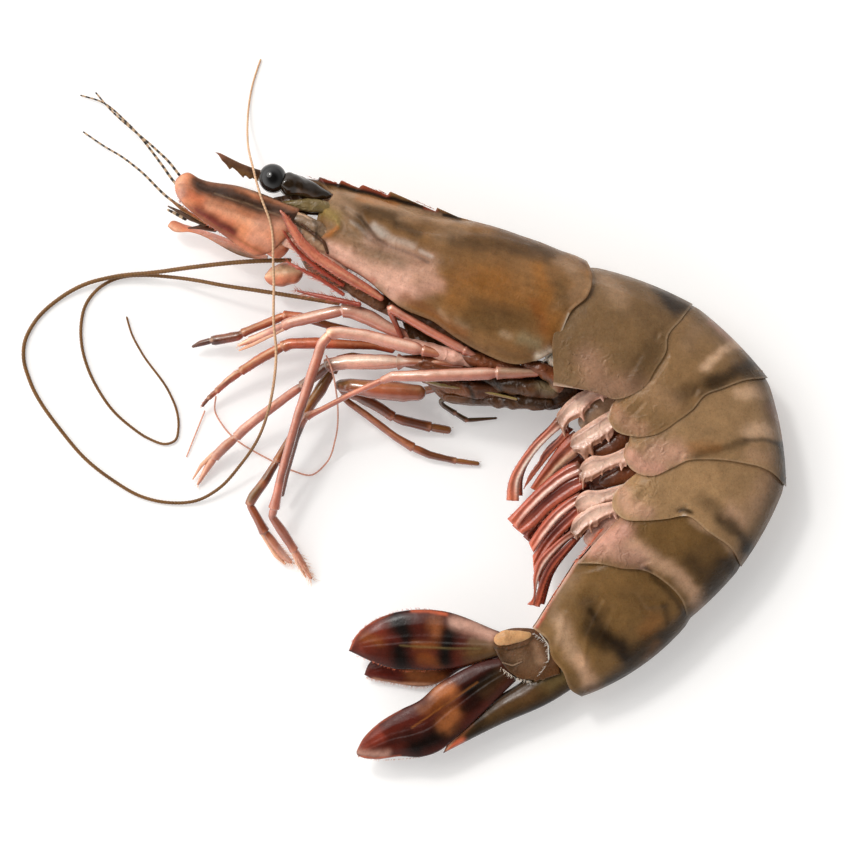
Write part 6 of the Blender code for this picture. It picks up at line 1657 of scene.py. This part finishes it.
class PRAWN_OT_eyes(bpy.types.Operator):
    """Build the two black eyes on their stalks"""

    bl_idname = "prawn.eyes"
    bl_label = "Eyes"

    def execute(self, context):
        # Wet faceted cornea over black pigment: near black and very glossy.
        cornea = tinted_material("wet_black_eye", 0.06, 0.5, speckle=0.0, grain_mm=0.25, bump_mm=0.003,
                                 mottle=0.1, glow=0.0, crinkle_mm=0.02, ior=1.4)
        for name, height in EYE_HEIGHTS.items():
            bpy.ops.object.select_all(action="DESELECT")
            centre = (EYE_CENTRE[0] * MM, EYE_CENTRE[1] * MM, height * MM)
            bpy.ops.mesh.primitive_uv_sphere_add(segments=64, ring_count=40, radius=EYE_RADIUS * MM,
                                                 location=centre)
            ball = context.object
            ball.name = ball.data.name = name + "_ball"
            bpy.ops.object.mode_set(mode="EDIT")
            bpy.ops.mesh.select_all(action="SELECT")
            bpy.ops.transform.resize(value=(0.97, 1.0, 0.9), center_override=centre)
            bpy.ops.mesh.normals_make_consistent(inside=False)
            bpy.ops.object.mode_set(mode="OBJECT")
            bpy.ops.object.shade_smooth()
            bpy.ops.object.transform_apply(location=True, rotation=True, scale=True)
            places = np.array([tuple(v.co) for v in ball.data.vertices]) / MM
            store_tint(ball, paint(places, "eye", (), 0.3))
            inward = 1 if height < HEAD_MIDDLE else -1
            stalk = [(EYE_CENTRE[0] + 1.2, EYE_CENTRE[1] - 0.4, height, 2.1)]
            stalk += [(x, y, height + inward * 0.55 * at, wide) for at, (x, y, wide) in enumerate(EYE_STALK)]
            points, _ = limb_points(stalk, sides=36, step=0.15, lumps=0.15)
            tube = wrap(name + "_stalk", points, paint(points, "dark", MARKS.get(name, ()), 0.3))
            dress(join([ball, tube]), cornea, "eye_black", name)
        return {"FINISHED"}


class PRAWN_OT_feelers(bpy.types.Operator):
    """Build the long and short feelers, their stalks and the two loose threads"""

    bl_idname = "prawn.feelers"
    bl_label = "Feelers"

    def execute(self, context):
        # Horny ringed feelers, brown and nearly dry, thinning to a pale whip.
        horn = tinted_material("ringed_feeler_horn", 0.42, 0.15, speckle=0.0, bump_mm=0.03, mottle=0.15,
                               glow=0.1)
        for name, (root, tip, *numbers) in FEELERS.items():
            line = smooth(points_of(3, numbers), evenly(200))
            wide = root + (tip - root) * evenly(200)
            points, path = limb_points(np.column_stack((line, wide)), step=0.14 if "long" in name else 0.1,
                                       sides=8, lumps=0.02)
            step = length_of(line) / len(path)
            run = np.arange(len(path)) * step
            # The rings are about 0.3 mm long, and are drawn at 0.62 mm so that they show.
            beads = np.sin(2 * math.pi * run / BEAD_SPACING)
            points += (points - path[:, None, :3]) * (0.07 * beads)[:, None, None]
            points[..., 2] = np.maximum(points[..., 2], LIMB_CLEARANCE)
            colours = paint(points, "feeler", (), 0.12)
            if "thread" in name:
                colours[:] = tint("pink") * 1.2
            elif "short" in name:
                bands = ease(0.5 + 1.6 * np.sin(2 * math.pi * run / BAND_SPACING))[:, None, None]
                colours[:] = tint("dark") * bands + tint("pale") * (1 - bands)
            else:
                if name == "feeler_long_L":
                    thin = ease((evenly(len(path)) - 0.58) / 0.12)[:, None, None]
                    colours = colours * (1 - thin) + tint("thread") * thin
                colours *= (1 + 0.14 * beads)[:, None, None]
            dress(wrap(name + "_horn", points, colours), horn, "feeler_brown", name)
        # Short stiff stalks, brown and orange, wet.
        shell = tinted_material("wet_stalk_shell", 0.34, 0.3, speckle=0.2, bump_mm=0.06)
        for name, route in STALKS.items():
            make_limb(name, route, "stalk", shell, "stalk_olive", sides=24, lumps=0.1)
        return {"FINISHED"}


class PRAWN_OT_tail_fan(bpy.types.Operator):
    """Build the tail fan: four blades, the spike between them and their joints"""

    bl_idname = "prawn.tail_fan"
    bl_label = "Tail fan"

    def execute(self, context):
        # Thin stiff fan plates, wet: dark red, black and orange fields with raised ribs.
        fans = [tinted_material(title, 0.26, 0.2, bump_mm=0.03, mottle=0.15, glow=0.05, crinkle_mm=0.05,
                                streak=turn, ior=1.25)
                for title, turn in (("wet_upper_fan_shell", 0.05), ("wet_lower_fan_shell", 0.5))]
        middle_rib = ((0.46, 0.08, 0.4), (0.57, 0.08, 0.4), (0.51, -0.06, 0.3), (0.25, 0.05, 0.5),
                      (0.78, 0.05, 0.5))
        for name in ("tail_blade_outer_L", "tail_blade_outer_R", "tail_blade_inner_L", "tail_blade_inner_R"):
            make_plate(name, "fan", fans["inner" in name], "tail_red", thick=0.3, arch=0.6, ribs=middle_rib)
        make_plate("tail_spike", "olive_deep", fans[1], "tail_red", thick=1.1, arch=0.8,
                   ribs=((0.12, 0.15, 0.4), (0.45, 0.15, 0.9)))
        # Thick joint plates of the fan, tan and smooth over a brown wet skin.
        joint = tinted_material("wet_fan_joint", 0.3, 0.35, bump_mm=0.08, crinkle_mm=0.3)
        make_plate("tail_joint_L", "brown", joint, "stalk_olive", shade=0.1, thick=0.12, arch=0.2, ragged=0.3)
        make_plate("tail_joint_R", "stalk", joint, "stalk_olive", thick=0.9, arch=0.3)
        return {"FINISHED"}


class PRAWN_OT_swimming_legs(bpy.types.Operator):
    """Build the five pairs of swimming legs"""

    bl_idname = "prawn.swimming_legs"
    bl_label = "Swimming legs"

    def execute(self, context):
        # Thin translucent red plates on pale wrinkled stalks, wet, with a fringe of fine red hairs.
        shell = tinted_material("wet_swimmer_shell", 0.24, 0.5, speckle=0.1, mottle=0.15, glow=0.1,
                                crinkle_mm=0.3, streak=0.8, ior=1.45)
        ribs = ((0.3, 0.14, 0.4), (0.56, -0.16, 0.35), (0.8, 0.12, 0.3))
        folds = ((0.2, 0.2, 0.35), (0.5, -0.15, 0.5), (0.8, 0.25, 0.3))
        for pair, (right_shift, share) in enumerate(zip(RIGHT_SWIMMERS, SWIMMER_SHARES), 1):
            for side, shift in (("L", (0.0, 0.0, 0.0)), ("R", right_shift)):
                name = f"swimming_leg_{pair}_{side}"
                # The right legs, under the body, are painted dark as painted shade.
                shade = 1.0 if side == "L" else np.array((0.4, 0.25, 0.2))
                pieces = []
                for kind in SWIMMER_FIELDS:
                    plate = f"swimming_{kind}_{pair}"
                    if plate not in BLADES:
                        continue
                    stout = kind == "stalk"
                    points = plate_points(plate, thick=0.25 if stout else 0.2, arch=0.35 if stout else 0.5,
                                          ribs=folds if stout else ribs, ragged=1.0 if stout else 0.0)
                    colours = swimmer_tints(points, kind, 80 + pair) * shade
                    # Stalk edges get a painted highlight, and blade edges painted shade.
                    colours *= edge_shade(points, -0.45 if stout else 0.3, 0.2) * (1.25 if stout else share)
                    wrinkled = np.full(points.shape[:2], 0.6 if stout else 0.2)
                    pieces.append(wrap(name + "_" + kind, points + shift, np.dstack((colours, wrinkled))))
                    if not stout:
                        pieces.append(plate_fringe(name, points + shift, 50, 0.4, "coral", pair))
                pieces += lumps_of(name, 0.15)
                dress(join(pieces), shell, "swimmer_red", name)
        return {"FINISHED"}


class PRAWN_OT_stage(bpy.types.Operator):
    """Set up the pale floor, the soft light and the camera"""

    bl_idname = "prawn.stage"
    bl_label = "Floor, light and camera"

    def execute(self, context):
        scene = context.scene
        bpy.ops.object.select_all(action="DESELECT")
        bpy.ops.mesh.primitive_plane_add(size=6.0, location=(0.0, 0.0, -0.00005))
        floor = context.object
        floor.name = "floor"
        # Matte white card, lit a little from behind.
        card = bpy.data.materials.new("matte_white_card")
        card.use_nodes = True
        shader = card.node_tree.nodes["Principled BSDF"]
        for socket, value in (("Base Color", (0.78, 0.775, 0.77, 1.0)), ("Roughness", 0.9),
                              ("Emission Color", (1.0, 0.995, 0.99, 1.0)), ("Emission Strength", 0.27),
                              ("Specular IOR Level", 0.1)):
            shader.inputs[socket].default_value = value
        floor.data.materials.append(card)

        # Bright all round and dark overhead, where the camera is, with more light from the upper left.
        world = bpy.data.worlds.new("soft_white_room")
        world.use_nodes = True
        tree = world.node_tree
        way = node(tree, "ShaderNodeTexCoord").outputs["Generated"]
        up = node(tree, "ShaderNodeSeparateXYZ", {"Vector": way}).outputs["Z"]
        dome = node(tree, "ShaderNodeMapRange", {"Value": up, "From Min": 0.45, "From Max": 0.95,
                                                 "To Min": 1.3, "To Max": 0.15},
                    interpolation_type="SMOOTHSTEP")
        side = node(tree, "ShaderNodeVectorMath", {0: way, 1: (-0.7, 0.15, 0.0)}, operation="DOT_PRODUCT")
        lift = node(tree, "ShaderNodeMath", {0: side.outputs["Value"], 1: 1.0}, operation="ADD")
        power = node(tree, "ShaderNodeMath", {0: dome.outputs["Result"], 1: lift.outputs["Value"]},
                     operation="MULTIPLY")
        background = tree.nodes["Background"]
        background.inputs["Color"].default_value = (1.0, 0.985, 0.97, 1.0)
        tree.links.new(power.outputs["Value"], background.inputs["Strength"])
        scene.world = world

        # A wide soft box, and a small lamp beside it for the glints on the wet shell.
        for title, strength, size, tilt in (("soft_key", 1.1, 40, (-24, -28)),
                                            ("small_key", 0.75, 8, (-28, -24))):
            key = bpy.data.lights.new(title, "SUN")
            key.energy = strength
            key.angle = math.radians(size)
            key.color = (1.0, 0.98, 0.95)
            lamp = bpy.data.objects.new(title, key)
            lamp.rotation_euler = (math.radians(tilt[0]), math.radians(tilt[1]), 0.0)
            scene.collection.objects.link(lamp)

        # A long lens straight above; the frame is 848 pixels of 0.18 mm at mid height of the body.
        lens, sensor, frame_width, mid_height = 500.0, 36.0, 152.64, 10.0
        view = bpy.data.cameras.new("top_view")
        view.lens = lens
        view.sensor_width = sensor
        view.clip_start, view.clip_end = 0.1, 20.0
        camera = bpy.data.objects.new("top_view", view)
        camera.location = (3.6 * MM, -2.88 * MM, (mid_height + frame_width * lens / sensor) * MM)
        scene.collection.objects.link(camera)
        scene.camera = camera
        scene.view_settings.view_transform = "Standard"
        return {"FINISHED"}


STEPS = (PRAWN_OT_head_shield, PRAWN_OT_tail_rings, PRAWN_OT_belly, PRAWN_OT_walking_legs,
         PRAWN_OT_mouth_limbs, PRAWN_OT_scales, PRAWN_OT_eyes, PRAWN_OT_feelers, PRAWN_OT_tail_fan,
         PRAWN_OT_swimming_legs, PRAWN_OT_stage)


class VIEW3D_PT_prawn(bpy.types.Panel):
    """Lists the prawn's steps and looks in the sidebar"""

    bl_label = "Raw tiger prawn"
    bl_space_type = "VIEW_3D"
    bl_region_type = "UI"
    bl_category = "Prawn"

    def draw(self, context):
        for step in STEPS:
            self.layout.operator(step.bl_idname)
        for name in PrawnLooks.__annotations__:
            self.layout.prop(context.scene.prawn_looks, name)


def register():
    """Register the looks, the steps and the panel."""
    for kind in (PrawnLooks, *STEPS, VIEW3D_PT_prawn):
        bpy.utils.register_class(kind)
    bpy.types.Scene.prawn_looks = bpy.props.PointerProperty(type=PrawnLooks)


def unregister():
    """Take the panel, the steps and the looks away again."""
    del bpy.types.Scene.prawn_looks
    for kind in (VIEW3D_PT_prawn, *reversed(STEPS), PrawnLooks):
        bpy.utils.unregister_class(kind)


def main():
    register()
    for step in STEPS:
        group, name = step.bl_idname.split(".")
        getattr(getattr(bpy.ops, group), name)()


if __name__ == "__main__":
    main()
